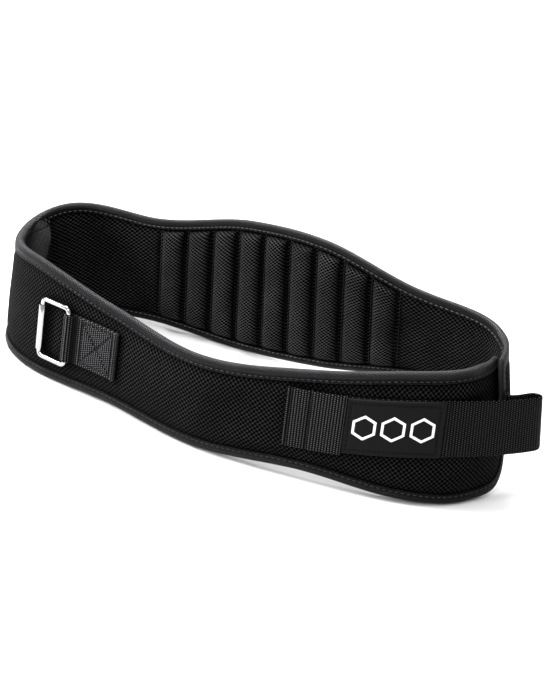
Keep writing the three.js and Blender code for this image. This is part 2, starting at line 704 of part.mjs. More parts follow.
// The footprint's middle becomes the origin
const box = new THREE.Box3().setFromObject(belt);
const middle = box.getCenter(new THREE.Vector3());
belt.children.forEach((mesh) => mesh.geometry.translate(-middle.x, -middle.y, -box.min.z));

export default belt;
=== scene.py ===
import math

import bmesh
import bpy
import numpy as np
from mathutils import Matrix, Vector


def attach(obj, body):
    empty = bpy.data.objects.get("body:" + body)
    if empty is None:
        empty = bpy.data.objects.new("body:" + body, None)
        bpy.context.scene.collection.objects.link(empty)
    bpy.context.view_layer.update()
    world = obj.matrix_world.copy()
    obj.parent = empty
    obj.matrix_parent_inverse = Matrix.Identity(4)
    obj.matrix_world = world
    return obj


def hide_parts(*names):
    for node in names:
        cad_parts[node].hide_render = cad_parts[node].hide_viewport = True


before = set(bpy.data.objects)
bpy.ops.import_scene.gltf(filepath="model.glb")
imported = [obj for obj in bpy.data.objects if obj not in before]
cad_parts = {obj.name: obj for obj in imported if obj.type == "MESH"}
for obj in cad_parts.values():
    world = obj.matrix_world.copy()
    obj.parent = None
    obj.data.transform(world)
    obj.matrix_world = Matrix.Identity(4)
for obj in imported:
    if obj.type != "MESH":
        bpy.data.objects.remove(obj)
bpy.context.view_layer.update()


# Padded panel
# The body of the belt: one long shaped strip of soft foam, faced on both sides with knitted air
# mesh. It keeps the loop that it was worn in. Its whole edge is squeezed thin where the binding
# is sewn over it, and the inner face has buckled into a padded fold in the tight left bend.

BELT_LENGTH = 1.234
LUMBAR_HEIGHT = 0.145
END_OVERLAP = 0.026
END_STEP_OUT = 0.0107
START_HEADING = 276
COURSE_STEPS = 617
# where the near end's lower edge starts in the frame
COURSE_SHIFT = (0.24027648, -0.01327799, 0.00023567)
PANEL_HALF = 0.005
PANEL_INSET = 0.0015
TAPE_WIDTH = 0.0093
NEAR_LOWER_RADIUS = 0.038
NEAR_UPPER_RADIUS = 0.024
FAR_LOWER_RADIUS = 0.014
FAR_UPPER_RADIUS = 0.006

# share of the length, turn in degrees a tenth, height and rise as shares, inward lean in degrees
WALL_TABLE = np.array([
    [0.0, 105, 0.815, 0.025, 11], [0.022, 100, 0.81, 0.015, 11], [0.055, 90, 0.835, 0.001, 6],
    [0.1, 40, 0.79, 0.018, 5], [0.16, 4, 0.655, 0.06, 3.5], [0.25, 25, 0.6, 0.006, 3],
    [0.34, -11, 0.64, 0.017, 6], [0.42, 46, 0.765, 0, 6.5], [0.48, 104, 0.74, 0.013, 5],
    [0.55, 87, 0.85, 0, 1.5], [0.62, 19, 0.795, 0.018, 1.5], [0.71, 8, 0.992, 0.003, 4],
    [0.78, -4, 0.965, 0.085, 8], [0.86, 12, 0.68, 0.25, 12], [0.94, 82, 0.62, 0.28, 10.5],
    [1.0, 112, 0.52, 0.31, 11],
])


def wall_value(column, s):
    """One column of the wall's table as a smooth curve, at places s along the belt."""
    share = np.asarray(s, float) / BELT_LENGTH
    at, value = WALL_TABLE[:, 0], WALL_TABLE[:, column]
    width = np.diff(at)
    slope = np.diff(value) / width
    inner = (slope[:-1] * width[1:] + slope[1:] * width[:-1]) / (width[1:] + width[:-1])
    tangent = np.concatenate([slope[:1], inner, slope[-1:]])
    i = np.clip(np.searchsorted(at, share) - 1, 0, len(at) - 2)
    t = (share - at[i]) / width[i]
    keep = (2 * t - 3) * t * t + 1
    bent = (t - 1) ** 2 * t * tangent[i] + (t - 1) * t * t * tangent[i + 1]
    return keep * value[i] + (1 - keep) * value[i + 1] + bent * width[i]


def plan_course():
    """The belt's middle layer seen from above: x, y and heading in small even steps."""
    turn = wall_value(1, np.linspace(0, BELT_LENGTH, COURSE_STEPS + 1))
    turned = np.append(0, np.cumsum(turn[1:] + turn[:-1]) / 2 * 10 / COURSE_STEPS)
    lap = round(END_OVERLAP / BELT_LENGTH * COURSE_STEPS)
    heading = np.radians(START_HEADING - turned * 360 / (turned[-1] - turned[lap]))
    middle = (heading[1:] + heading[:-1]) / 2
    step = BELT_LENGTH / COURSE_STEPS
    x = np.append(0, np.cumsum(step * np.cos(middle)))
    y = np.append(0, np.cumsum(step * np.sin(middle)))
    miss_x = x[lap] - END_STEP_OUT * math.sin(heading[lap]) - x[-1]
    miss_y = y[lap] + END_STEP_OUT * math.cos(heading[lap]) - y[-1]
    share = np.linspace(0, 1, COURSE_STEPS + 1)
    return x + miss_x * share + COURSE_SHIFT[0], y + miss_y * share + COURSE_SHIFT[1], heading


COURSE = plan_course()
END_SQUEEZE, SQUEEZE_FROM, SQUEEZE_FADE = 0.4, 0.060, 0.034
NEAR_END_SHIFT, FAR_END_SHIFT = 0.0044, 0.0006


def smooth_step(x):
    x = np.clip(x, 0, 1)
    return x * x * (3 - 2 * x)


def bump_at(distance, width):
    """A smooth round bump of height 1, about as wide as width to each side of distance 0."""
    return np.exp(-(distance / width) ** 2)


def wall_point(s, out, z):
    """Points of the wall: s along the belt, out from its middle layer, z above the surface. The
    two ends are pressed thinner where they lie on each other, and towards each other."""
    s, out, z = np.broadcast_arrays(s, out, z)
    near = smooth_step((SQUEEZE_FROM - s) / SQUEEZE_FADE)
    far = smooth_step((s - BELT_LENGTH + SQUEEZE_FROM) / SQUEEZE_FADE)
    pressed = END_SQUEEZE * (near + far) * np.clip(out, -PANEL_HALF, PANEL_HALF)
    out = out - pressed + NEAR_END_SHIFT * near + FAR_END_SHIFT * far
    steps = np.arange(COURSE_STEPS + 1) * BELT_LENGTH / COURSE_STEPS
    x, y, heading = (np.interp(s, steps, values) for values in COURSE)
    away = out - z * np.tan(np.radians(wall_value(4, s)))
    x, y = x - away * np.sin(heading), y + away * np.cos(heading)
    return np.stack([x, y, z + COURSE_SHIFT[2]], -1)


def lower_edge(s):
    return wall_value(3, s) * LUMBAR_HEIGHT


def upper_edge(s):
    return lower_edge(s) + wall_value(2, s) * LUMBAR_HEIGHT


def corner_depth(from_end, from_edge, radius):
    """How far a place lies inside one rounded corner, given how far it is from end and edge."""
    past_end, past_edge = np.maximum(radius - from_end, 0), np.maximum(radius - from_edge, 0)
    round_part = radius - np.hypot(past_end, past_edge)
    square = (from_end >= radius) | (from_edge >= radius)
    return np.where(square, np.minimum(from_end, from_edge), round_part)


def outline_distance(s, z):
    """How far a place on the flat panel lies inside its outline with the rounded corners."""
    below, above, left = z - lower_edge(s), upper_edge(s) - z, BELT_LENGTH - s
    return np.minimum.reduce([
        corner_depth(s, below, NEAR_LOWER_RADIUS), corner_depth(s, above, NEAR_UPPER_RADIUS),
        corner_depth(left, below, FAR_LOWER_RADIUS), corner_depth(left, above, FAR_UPPER_RADIUS),
    ])


def inset_edge(s, near_radius, far_radius):
    """Height of the panel's own edge inside the outline, near the two ends' round corners."""
    insets = []
    for from_end, radius in ((s, near_radius), (BELT_LENGTH - s, far_radius)):
        square = (radius - PANEL_INSET) ** 2 - np.maximum(radius - from_end, 0) ** 2
        insets.append(radius - np.sqrt(np.maximum(square, 0)))
    return np.maximum(*insets)


def surface(name, points, uv, materials, second_from=None, around=False, along=False, sharp=50):
    """A smooth mesh through a grid of points. uv is each point's place on the flat piece, in
    metres. around and along join the last column or row to the first. Where it is joined around
    alone, both ends are closed across. Columns from second_from on get the second material."""
    rows, columns = points.shape[:2]
    across, up = np.arange(columns - (not around)), np.arange(rows - (not along))
    i, j = np.meshgrid(up, across, indexing="ij")
    corners = [(i, j), (i, j + 1), (i + 1, j + 1), (i + 1, j)]
    faces = np.stack([a % rows * columns + b % columns for a, b in corners], -1).reshape(-1, 4)
    flat = np.stack([uv[a, b] for a, b in corners], -2).reshape(-1, 4, 2)
    second = (j >= (columns if second_from is None else second_from)).reshape(-1)
    if around and not along:
        j = np.arange(columns // 2 - 1)
        k = columns - 1 - j
        for row, end in ((0, (j + 1, j, k, k - 1)), (rows - 1, (j, j + 1, k - 1, k))):
            faces = np.concatenate([faces, np.stack(end, -1) + row * columns])
            flat = np.concatenate([flat, np.stack([uv[row, e] for e in end], -2)])
            second = np.concatenate([second, np.zeros(len(j), bool)])
    mesh = bpy.data.meshes.new(name)
    mesh.from_pydata(points.reshape(-1, 3).tolist(), [], faces.tolist())
    mesh.uv_layers.new(name="flat").data.foreach_set("uv", flat.reshape(-1).astype(np.float32))
    for item in materials:
        mesh.materials.append(item)
    mesh.polygons.foreach_set("material_index", second.astype(np.int32))
    return finished(mesh, sharp)


def slab(name, face, back, flat, materials, **settings):
    """A closed piece between two grids of points that lie over each other, its face and its back.
    flat is each point's place on the flat piece."""
    points = np.concatenate([face, back[:, ::-1]], 1)
    uv = np.concatenate([flat, flat[:, ::-1], flat[:, :1]], 1)
    return surface(name, points, uv, materials, around=True, **settings)


def in_scene(name, data):
    made = bpy.data.objects.new(name, data)
    bpy.context.scene.collection.objects.link(made)
    return made


def finished(mesh, sharp=50):
    """The mesh as an object in the scene, with its faces outwards and smooth shading."""
    work = bmesh.new()
    work.from_mesh(mesh)
    bmesh.ops.recalc_face_normals(work, faces=work.faces)
    work.to_mesh(mesh)
    work.free()
    mesh.shade_smooth()
    mesh.set_sharp_from_angle(angle=math.radians(sharp))
    return in_scene(mesh.name, mesh)


def colour(value):
    """Linear colour of an sRGB hex value."""
    parts = [int(value[i:i + 2], 16) / 255 for i in (0, 2, 4)]
    return (*(p / 12.92 if p <= 0.04045 else ((p + 0.055) / 1.055) ** 2.4 for p in parts), 1)


def node(tree, kind, inputs=None, **settings):
    """One shader node with its settings, and its inputs as values or as links from other nodes."""
    made = tree.nodes.new("ShaderNode" + kind)
    for name, value in settings.items():
        setattr(made, name, value)
    for key, value in (inputs or {}).items():
        if isinstance(value, bpy.types.Node):
            value = value.outputs[0]
        if isinstance(value, bpy.types.NodeSocket):
            tree.links.new(value, made.inputs[key])
        else:
            made.inputs[key].default_value = value
    return made


def new_material(name, coordinates="UV"):
    """A bare material, its tree of nodes, and the coordinates that its patterns are laid out in."""
    made = bpy.data.materials.new(name)
    made.use_nodes = True
    made.node_tree.nodes.clear()
    return made, made.node_tree, node(made.node_tree, "TexCoord").outputs[coordinates]


def dressed(made, inputs, height, depth):
    """Gives the material its shader, with a relief of that depth in metres."""
    tree = made.node_tree
    relief = node(tree, "Bump", {"Height": height, "Distance": depth})
    shader = node(tree, "BsdfPrincipled", {"IOR": 1.5, **inputs, "Normal": relief})
    node(tree, "OutputMaterial", {"Surface": shader})
    return made


def mottled(tree, place, millimetres, detail, low, high, contrast=(0.3, 0.7)):
    """Noise in patches that many millimetres wide, and a level from low to high that follows it.
    contrast: the noise's values where the level is at its low and its high end."""
    noise = node(tree, "TexNoise", {"Vector": place, "Scale": 1000 / millimetres, "Detail": detail})
    level = node(tree, "MapRange", {"Value": noise, "From Min": contrast[0],
                                    "From Max": contrast[1], "To Min": low, "To Max": high})
    return noise, level


def wandering(tree, flat, millimetres, wander):
    """Places on the piece, moved by up to wander in patches that many millimetres wide, so that
    threads laid out by them don't run dead straight."""
    noise = node(tree, "TexNoise", {"Vector": flat, "Scale": 1000 / millimetres, "Detail": 2})
    return node(tree, "VectorMath", {0: noise.outputs["Color"], 1: (wander, wander, 0), 2: flat},
                operation="MULTIPLY_ADD")


def crossed_threads(tree, place, families):
    """A diamond net of two crossed families of threads: 1 in the middle of each hole and 0 along
    the threads. families: each one's angle in degrees and spacing in metres."""
    waves = []
    for angle, spacing in families:
        across = (-math.sin(math.radians(angle)) * math.pi / spacing,
                  math.cos(math.radians(angle)) * math.pi / spacing, 0)
        phase = node(tree, "VectorMath", {0: place, 1: across}, operation="DOT_PRODUCT")
        wave = node(tree, "Math", {0: phase.outputs["Value"]}, operation="COSINE")
        waves.append(node(tree, "Math", {0: wave}, operation="ABSOLUTE"))
    return node(tree, "Math", {0: waves[0], 1: waves[1]}, operation="MULTIPLY")


def shaded_hollows(tree, reach):
    """Level of the light that threads get: little where they lie down in channels, folds and
    seams, below what rises within reach."""
    open_sky = node(tree, "AmbientOcclusion", {"Distance": reach}, samples=8)
    return node(tree, "Math", {0: open_sky.outputs["AO"], 1: 2.0}, operation="POWER")


# The buckled fold on the lining swells up slowly and drops off steeply. Its crest passes BUCKLE_AT
# at the height BUCKLE_MIDDLE, shifts along the belt by BUCKLE_SHIFT of each rise, and reaches
# BUCKLE_REACH up and down from there.
BUCKLE_AT, BUCKLE_SHIFT, BUCKLE_MIDDLE, BUCKLE_REACH = 0.6235, 0.70, 0.080, 0.034
BUCKLE_SWELL, BUCKLE_DROP, BUCKLE_DEPTH = 0.030, 0.0045, 0.0175
BUCKLE_CREASE, CREASE_WIDTH = 0.0016, 0.0022
# middle of the swelling flank, as a distance before the crest, and half its width
FLANK_BEFORE, FLANK_HALF = 0.006, 0.026
# change of the painted light on the flank and of the painted shadow behind the crest, and of the
# # holes between the threads, which close so that the fold looks brighter
FLANK_LIGHT, BEHIND_LIGHT, NET_CLOSED_FOR_LIGHT = -0.2, -0.93, -0.7


def over_the_buckle(tree, flat, shaded, hole):
    """Painted light and shade on the buckled fold: its net's holes close so that the flank looks
    brighter, and the steep side is painted in deep shadow."""
    sides = node(tree, "VectorMath", {0: flat, 1: (1, -BUCKLE_SHIFT, 0)}, operation="DOT_PRODUCT")
    crest = BUCKLE_AT - BUCKLE_SHIFT * BUCKLE_MIDDLE
    across = node(tree, "Math", {0: sides.outputs["Value"], 1: crest}, operation="SUBTRACT")
    off_middle = node(tree, "VectorMath", {0: flat, 1: (BUCKLE_AT - FLANK_BEFORE, BUCKLE_MIDDLE, 0)},
                      operation="SUBTRACT")
    scaled = node(tree, "VectorMath", {0: off_middle, 1: (1 / FLANK_HALF, 1 / BUCKLE_REACH, 0)},
                  operation="MULTIPLY")
    away = node(tree, "VectorMath", {0: scaled}, operation="LENGTH")
    within = node(tree, "MapRange", {"Value": away.outputs["Value"], "From Min": 0.95,
                                     "From Max": 1.25, "To Min": 1.0, "To Max": 0.0})
    painted_shade = node(tree, "MapRange", {"Value": across, "From Min": -0.0015, "From Max": 0.0015,
                                  "To Min": FLANK_LIGHT, "To Max": BEHIND_LIGHT})
    change = node(tree, "Math", {0: painted_shade, 1: within, 2: 1.0}, operation="MULTIPLY_ADD")
    shaded = node(tree, "Math", {0: shaded, 1: change}, operation="MULTIPLY")
    # painted light: closing the net's holes makes the fold lighter, as if it caught the light
    closed = node(tree, "Math", {0: within, 1: NET_CLOSED_FOR_LIGHT, 2: 1.0}, operation="MULTIPLY_ADD")
    return shaded, node(tree, "Math", {0: hole, 1: closed}, operation="MULTIPLY")


def air_mesh(name, families, thread, widest, buckled=False):
    """Knitted polyester air mesh: matt black threads in a diamond net over a dark open layer. The
    eye gets a fine net of grey threads with dark holes, and a slight fuzz. The net is drawn about
    one and a half times as coarse as a real one, so that it shows. thread is the threads' colour,
    and a hole is fully dark where the net's value passes widest."""
    made, tree, flat = new_material(name)
    net = crossed_threads(tree, wandering(tree, flat, 5.26, 0.0015), families)
    hole = node(tree, "MapRange", {"Value": net, "From Min": 0.04, "From Max": widest},
                interpolation_type="SMOOTHSTEP")
    shaded = shaded_hollows(tree, 0.012)
    if buckled:
        shaded, hole = over_the_buckle(tree, flat, shaded, hole)
    fuzz, dusty = mottled(tree, flat, millimetres=0.455, detail=3, low=0.6, high=1.4)
    _, uneven = mottled(tree, flat, millimetres=38.5, detail=3, low=0.75, high=1.25)
    both = node(tree, "Math", {0: uneven, 1: dusty}, operation="MULTIPLY")
    level = node(tree, "Math", {0: both, 1: shaded}, operation="MULTIPLY")
    threads = node(tree, "VectorMath", {0: colour(thread)[:3], 1: level}, operation="MULTIPLY")
    shown = node(tree, "Mix", {0: hole, 6: threads, 7: colour("010101")}, data_type="RGBA")
    solid = node(tree, "Math", {0: 1, 1: hole}, operation="SUBTRACT")
    raised = node(tree, "Math", {0: fuzz, 1: 0.25, 2: solid}, operation="MULTIPLY_ADD")
    return dressed(made, {"Base Color": shown.outputs[2], "Roughness": 0.75, "Sheen Weight": 0.002,
                          "Sheen Roughness": 0.4, "Specular IOR Level": 0.01}, raised, 0.0011)


outer_mesh = air_mesh("air_mesh_outer", [(45, 0.0031), (-45, 0.0031)], "282829", 0.34)
lining_mesh = air_mesh("air_mesh_lining", [(40, 0.0029), (-28, 0.0035)], "383839", 0.28, buckled=True)

# how deep inside the outline, and half the panel's thickness there, where the tape pinches it
PINCHED = np.array([[1.5, 1.1], [3.0, 2.7], [5.0, 3.1]]) / 1000
FULL_FROM, FULL_OVER = 0.0092, 0.0115
PUCKER_PITCH, PUCKER_DEPTH, PUCKER_FADE = 0.0092, 0.00022, 0.006
DIP_AT, DIP_DEPTH, DIP_WIDTH = 0.0100, 0.0009, 0.0008
# worn waves, and how deep inside the outline they and the puckers set in
WORN_DEPTH, WORN_FROM, WORN_OVER = 0.00022, 0.009, 0.004
OUTER, LINING = 0, 2


def panel_half(s, z, face):
    """Half thickness of the panel: squeezed thin under the tape and full beyond it, with a sharp
    dip along the tape, small puckers beside it, and slight waves, as foam has that has been worn.
    The waves of the face OUTER and of the face LINING differ."""
    deep = outline_distance(s, z)
    half = np.interp(deep, *PINCHED.T)
    half = half + (PANEL_HALF - PINCHED[-1, 1]) * smooth_step((deep - FULL_FROM) / FULL_OVER)
    inside = smooth_step((deep - WORN_FROM) / WORN_OVER)
    pucker = 1 + np.sin(2 * math.pi * (s / PUCKER_PITCH + 0.6 * np.sin(s * 61 + face)))
    half = half - PUCKER_DEPTH * inside * np.exp(-(deep - TAPE_WIDTH) / PUCKER_FADE) * pucker
    half = half - DIP_DEPTH * bump_at(deep - DIP_AT, DIP_WIDTH)
    swell = np.sin(s * 57 + z * 33 + face) * np.sin(z * 71 - s * 23) + 0.6 * np.sin(s * 131 + z * 87)
    return half - WORN_DEPTH * inside * (1.6 + swell)


def buckle_depth(s, z):
    """How far the buckled fold stands off the lining, with the crease at its foot."""
    up = (z - BUCKLE_MIDDLE) / BUCKLE_REACH
    across = s - BUCKLE_AT - BUCKLE_SHIFT * (z - BUCKLE_MIDDLE)
    side = np.clip(np.where(across < 0, across / BUCKLE_SWELL, across / BUCKLE_DROP), -1, 1)
    ridge = BUCKLE_DEPTH * np.maximum(1 - up ** 4, 0) * np.cos(side * math.pi / 2) ** 2
    crease = BUCKLE_CREASE * bump_at(across - BUCKLE_DROP, CREASE_WIDTH)
    return ridge - crease * np.maximum(1 - up * up, 0)


FIRST_CHANNEL, RIB_PITCH, RIB_COUNT = 0.774, 0.030, 9
CHANNEL_DEPTH, CHANNEL_WIDTH, CHANNEL_FROM, CHANNEL_OVER = 0.0020, 0.0020, 0.010, 0.004


def channel_dip(s, z):
    """The sewn channels between the ribs, pulled a little into the lining. They set in beside the
    tape, CHANNEL_FROM inside the outline."""
    number = np.clip(np.round((s - FIRST_CHANNEL) / RIB_PITCH), 0, RIB_COUNT)
    inside = smooth_step((outline_distance(s, z) - CHANNEL_FROM) / CHANNEL_OVER)
    return CHANNEL_DEPTH * bump_at(s - FIRST_CHANNEL - RIB_PITCH * number, CHANNEL_WIDTH) * inside


# rows of the mesh beside the outline, closest where the tape pinches the panel
EDGE_ROWS = np.array([0, 1, 2.5, 5, 7, 7.6, 7.9, 8.2, 8.5, 8.8, 9.2, 9.7, 10.5, 12, 14, 17]) / 1000
END_ROWS_TO, MIDDLE_STATIONS = 0.024, 594
MIDDLE_GAP, MIDDLE_ROWS = 0.0015, 22


def padded_panel():
    """The foam body: rows of points close together along its edge and even between."""
    near, far = PANEL_INSET + EDGE_ROWS, BELT_LENGTH - PANEL_INSET - EDGE_ROWS[::-1]
    middle = np.linspace(END_ROWS_TO, BELT_LENGTH - END_ROWS_TO, MIDDLE_STATIONS)
    s = np.concatenate([near, middle, far])[:, None]
    low = lower_edge(s) + inset_edge(s, NEAR_LOWER_RADIUS, FAR_LOWER_RADIUS)
    high = upper_edge(s) - inset_edge(s, NEAR_UPPER_RADIUS, FAR_UPPER_RADIUS)
    inner = EDGE_ROWS[-1] + MIDDLE_GAP
    between = low + inner + (high - low - 2 * inner) * np.linspace(0, 1, MIDDLE_ROWS)
    z = np.concatenate([low + EDGE_ROWS, between, high - EDGE_ROWS[::-1]], 1)
    s = np.broadcast_to(s, z.shape)
    outer = wall_point(s, panel_half(s, z, OUTER), z)
    inward = panel_half(s, z, LINING) + buckle_depth(s, z) - channel_dip(s, z)
    lining = wall_point(s, -inward, z)
    return slab("foam_panel", outer, lining, np.stack([s, z], -1), [outer_mesh, lining_mesh],
                second_from=z.shape[1])


panel = padded_panel()
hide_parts("padded_panel")
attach(panel, "belt")


# Edge binding
# A close-woven tape of polyester, folded over the whole edge of the belt and round its two ends.
# One row of lockstitch runs near its inner border on both faces and pulls a narrow groove, which
# leaves the border standing as a thin rolled lip.

# Places from the outline inwards, and out from the belt's middle layer: from the tape's inner
# border over the lip and the stitched groove to the fold.
TAPE_FACE = np.array([
    [9.25, 2.60], [9.42, 3.45], [9.36, 4.12], [9.05, 4.45], [8.65, 4.42], [8.15, 4.0], [7.4, 3.35],
    [6.7, 3.95], [6.0, 4.45], [4.8, 4.72], [3.6, 4.62], [2.5, 4.18], [1.6, 3.5], [0.9, 2.65],
    [0.35, 1.65], [0.05, 0.6],
]) / 1000
TAPE_INSIDE = np.array([[1.2, 1.0], [2.2, 2.2], [3.8, 3.2], [6.0, 3.22], [8.4, 3.22]]) / 1000
# the groove is the seventh point, and the thread lies a little above its bottom
GROOVE = 6
GROOVE_DEEP, GROOVE_OUT, GROOVE_HALF = TAPE_FACE[GROOVE, 0], 0.0038, 0.0012
OUTLINE_STEP = 0.003
TAPE_SLACK = 0.02


def run_along(points):
    """Distance along a line of points, from the first to each."""
    return np.append(0, np.cumsum(np.linalg.norm(np.diff(points, axis=0), axis=1)))


# distance round the tape's face from the middle of its fold
TAPE_RUN = TAPE_FACE[-1, 1] + run_along(TAPE_FACE[::-1])[::-1]
GROOVE_RUN = float(TAPE_RUN[GROOVE])


def outline():
    """The belt's outline as places s and z with the direction that leads inwards, once round."""
    rows = []
    step = OUTLINE_STEP

    def along(start, stop, edge, inward):
        for s in np.linspace(start, stop, max(2, round(abs(stop - start) / step))):
            rows.append((s, float(edge(s)), 0, inward))

    def corner(end, to_middle, edge, inward, radius, from_edge):
        count = max(6, round(radius * math.pi / 2 / step))
        for i in range(1, count + (not from_edge)):
            angle = (i if from_edge else count - i) / count * math.pi / 2
            s = end + to_middle * radius * (1 - math.sin(angle))
            z = float(edge(s)) + inward * radius * (1 - math.cos(angle))
            rows.append((s, z, to_middle * math.sin(angle), inward * math.cos(angle)))

    along(NEAR_LOWER_RADIUS, BELT_LENGTH - FAR_LOWER_RADIUS, lower_edge, 1)
    corner(BELT_LENGTH, -1, lower_edge, 1, FAR_LOWER_RADIUS, True)
    corner(BELT_LENGTH, -1, upper_edge, -1, FAR_UPPER_RADIUS, False)
    along(BELT_LENGTH - FAR_UPPER_RADIUS - step, NEAR_UPPER_RADIUS, upper_edge, -1)
    corner(0, 1, upper_edge, -1, NEAR_UPPER_RADIUS, True)
    corner(0, 1, lower_edge, 1, NEAR_LOWER_RADIUS, False)
    rows.pop()
    return np.array(rows)


def edge_binding():
    """The tape's section led round the outline, slightly slack here and there."""
    outer, inner = TAPE_FACE, TAPE_FACE[::-1] * (1, -1)
    ring = np.concatenate([outer, inner, TAPE_INSIDE[::-1] * (1, -1), TAPE_INSIDE])
    places = outline()
    s, z, in_s, in_z = (places[:, k, None] for k in range(4))
    deep, out = ring[None, :, 0], ring[None, :, 1]
    run = run_along(np.concatenate([places, places[:1]])[:, :2])
    wave = np.sin(run[:-1, None] * 97) + np.sin(run[:-1, None] * 211)
    points = wall_point(s + in_s * deep, out * (1 + TAPE_SLACK * wave), z + in_z * deep)
    over = np.concatenate([TAPE_RUN, -TAPE_RUN[::-1], np.zeros(2 * len(TAPE_INSIDE)), TAPE_RUN[:1]])
    uv = np.stack(np.meshgrid(run, over, indexing="ij"), -1)
    return surface("binding_tape", points, uv, [tape_weave], around=True, along=True)


def woven_tape():
    """Close-woven polyester tape, near black: slanting rows of small knots that catch the light,
    with a painted highlight along the crest of the fold and painted shade down the stitched
    groove. The knots are drawn 2 mm apart, where the real ones are half that, so that they show."""
    made, tree, flat = new_material("polyester_binding_tape")
    knots = crossed_threads(tree, wandering(tree, flat, 2.5, 0.0011), [(-52, 0.0019), (28, 0.0019)])
    specks, rough = mottled(tree, flat, millimetres=1.11, detail=2, low=0.24, high=0.5)
    relief = node(tree, "Math", {0: knots, 1: specks})
    _, uneven = mottled(tree, flat, millimetres=22.2, detail=4, low=0.85, high=1.15)
    thread = node(tree, "MapRange", {"Value": knots, "From Min": 0.3, "From Max": 0.95,
                                     "To Min": 0.35, "To Max": 4.5})
    # painted shade: the needle's row down in its groove is drawn as a dark line, where shade falls in
    # it
    round_tape = node(tree, "SeparateXYZ", {0: flat})
    from_fold = node(tree, "Math", {0: round_tape.outputs[1]}, operation="ABSOLUTE")
    groove = node(tree, "Math", {0: from_fold, 1: GROOVE_RUN, 2: GROOVE_HALF}, operation="COMPARE")
    painted_shade = node(tree, "MapRange", {"Value": groove, "To Min": 1.0, "To Max": 0.1})
    # painted highlight: the fold is drawn paler along its crest, where the light catches it
    crest = node(tree, "MapRange", {"Value": from_fold, "From Min": 0.001, "From Max": 0.005,
                                    "To Min": 4.0, "To Max": 0.55})
    tone_and_crest_highlight = node(tree, "Math", {0: uneven, 1: crest}, operation="MULTIPLY")
    # the painted crest highlight and the painted shade of the groove together
    worn = node(tree, "Math", {0: tone_and_crest_highlight, 1: painted_shade}, operation="MULTIPLY")
    level = node(tree, "Math", {0: worn, 1: thread}, operation="MULTIPLY")
    shown = node(tree, "VectorMath", {0: colour("0d0d0e")[:3], 1: level}, operation="MULTIPLY")
    return dressed(made, {"Base Color": shown, "Roughness": rough, "Sheen Weight": 0.002,
                          "Sheen Roughness": 0.4, "Specular IOR Level": 0.075}, relief, 0.0008)


tape_weave = woven_tape()
binding = edge_binding()
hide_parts("edge_binding")
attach(binding, "belt")


def stitch_row(path, normal, pitch, length, radius):
    """Points and faces of a row of stitches along a path, each a short arched strand."""
    run = run_along(path)
    count = max(1, int(run[-1] / pitch))
    middle = (np.arange(count) + 0.5) * run[-1] / count

    def at(place, values):
        return np.stack([np.interp(place, run, values[:, k]) for k in range(3)], -1)

    forward = at(middle + length / 2, path) - at(middle - length / 2, path)
    forward /= np.linalg.norm(forward, axis=1, keepdims=True)
    up = at(middle, normal)
    up -= forward * np.sum(up * forward, 1, keepdims=True)
    up /= np.linalg.norm(up, axis=1, keepdims=True)
    side = np.cross(up, forward)
    # six rings of six points, thinner towards both ends, where the strand dips into the cloth
    x = np.array([-0.5, -0.4, -0.15, 0.15, 0.4, 0.5])
    size = np.array([0.35, 0.85, 1, 1, 0.85, 0.35]) * radius
    lift = radius * (0.55 - 4.4 * x * x)
    angle = np.arange(6) * math.pi / 3
    points = (at(middle, path)[:, None, None] + forward[:, None, None] * (x * length)[:, None, None]
              + up[:, None, None] * (lift[:, None] + size[:, None] * np.sin(angle))[..., None]
              + side[:, None, None] * (size[:, None] * np.cos(angle))[..., None])
    one = []
    for i in range(0, 30, 6):
        for j in range(6):
            k = (j + 1) % 6
            one.append([i + j, i + k, i + 6 + k, i + 6 + j])
    one += [[0, 1, 2, 3], [0, 3, 4, 5], [30, 33, 32, 31], [30, 35, 34, 33]]
    faces = np.array(one)[None] + np.arange(count)[:, None, None] * 36
    return points.reshape(-1, 3), faces.reshape(-1, 4)


def wall_stitches(s, out, z, stitch, face=1):
    """A row of stitches through places on the wall: face 1 is its outer face, -1 its inner one.
    stitch: pitch, length and the thread's radius."""
    path = wall_point(s, out, z)
    return stitch_row(path, wall_point(s, out + 0.01 * face, z) - path, *stitch)


def joined(name, parts, material):
    """One mesh from several lots of points and faces."""
    points = np.concatenate([p for p, _ in parts])
    starts = np.cumsum([0] + [len(p) for p, _ in parts[:-1]])
    faces = np.concatenate([f + start for (_, f), start in zip(parts, starts)])
    mesh = bpy.data.meshes.new(name)
    mesh.from_pydata(points.tolist(), [], faces.tolist())
    mesh.materials.append(material)
    return finished(mesh, 80)


def sewing_thread(name, value):
    """Bonded nylon sewing thread: a tight twist with a slight gloss along each stitch."""
    made, tree, place = new_material(name, "Object")
    ply, level = mottled(tree, place, millimetres=0.286, detail=1, low=0.7, high=1.3, contrast=(0, 1))
    shown = node(tree, "VectorMath", {0: colour(value)[:3], 1: level}, operation="MULTIPLY")
    return dressed(made, {"Base Color": shown, "Roughness": 0.5, "Specular IOR Level": 0.1},
                   ply, 0.0001)


TAPE_STITCH = (0.0052, 0.0033, 0.0005)


def binding_stitches(name, face, thread):
    """The tape's row of stitches on one face of the belt: 1 the outer face, -1 the inner."""
    places = outline()
    s, z, in_s, in_z = np.concatenate([places, places[:1]]).T
    row = wall_stitches(s + in_s * GROOVE_DEEP, face * GROOVE_OUT, z + in_z * GROOVE_DEEP,
                        TAPE_STITCH, face)
    return joined(name, [row], thread)


# the needle's thread on the outer face is darker than the bobbin's on the inner face
tape_thread = sewing_thread("nylon_thread_needle", "363638")
bobbin_thread = sewing_thread("nylon_thread_bobbin", "5a5a5c")
for name, face, thread in (("binding_stitches_outer", 1, tape_thread),
                           ("binding_stitches_inner", -1, bobbin_thread)):
    tape_seam = binding_stitches(name, face, thread)
    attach(tape_seam, "belt")


# Rib pads
# Nine upright foam pads under the lining at the small of the back, quilted by ten rows of
# stitching from tape to tape. Between them the lining is pulled down into narrow dark channels.

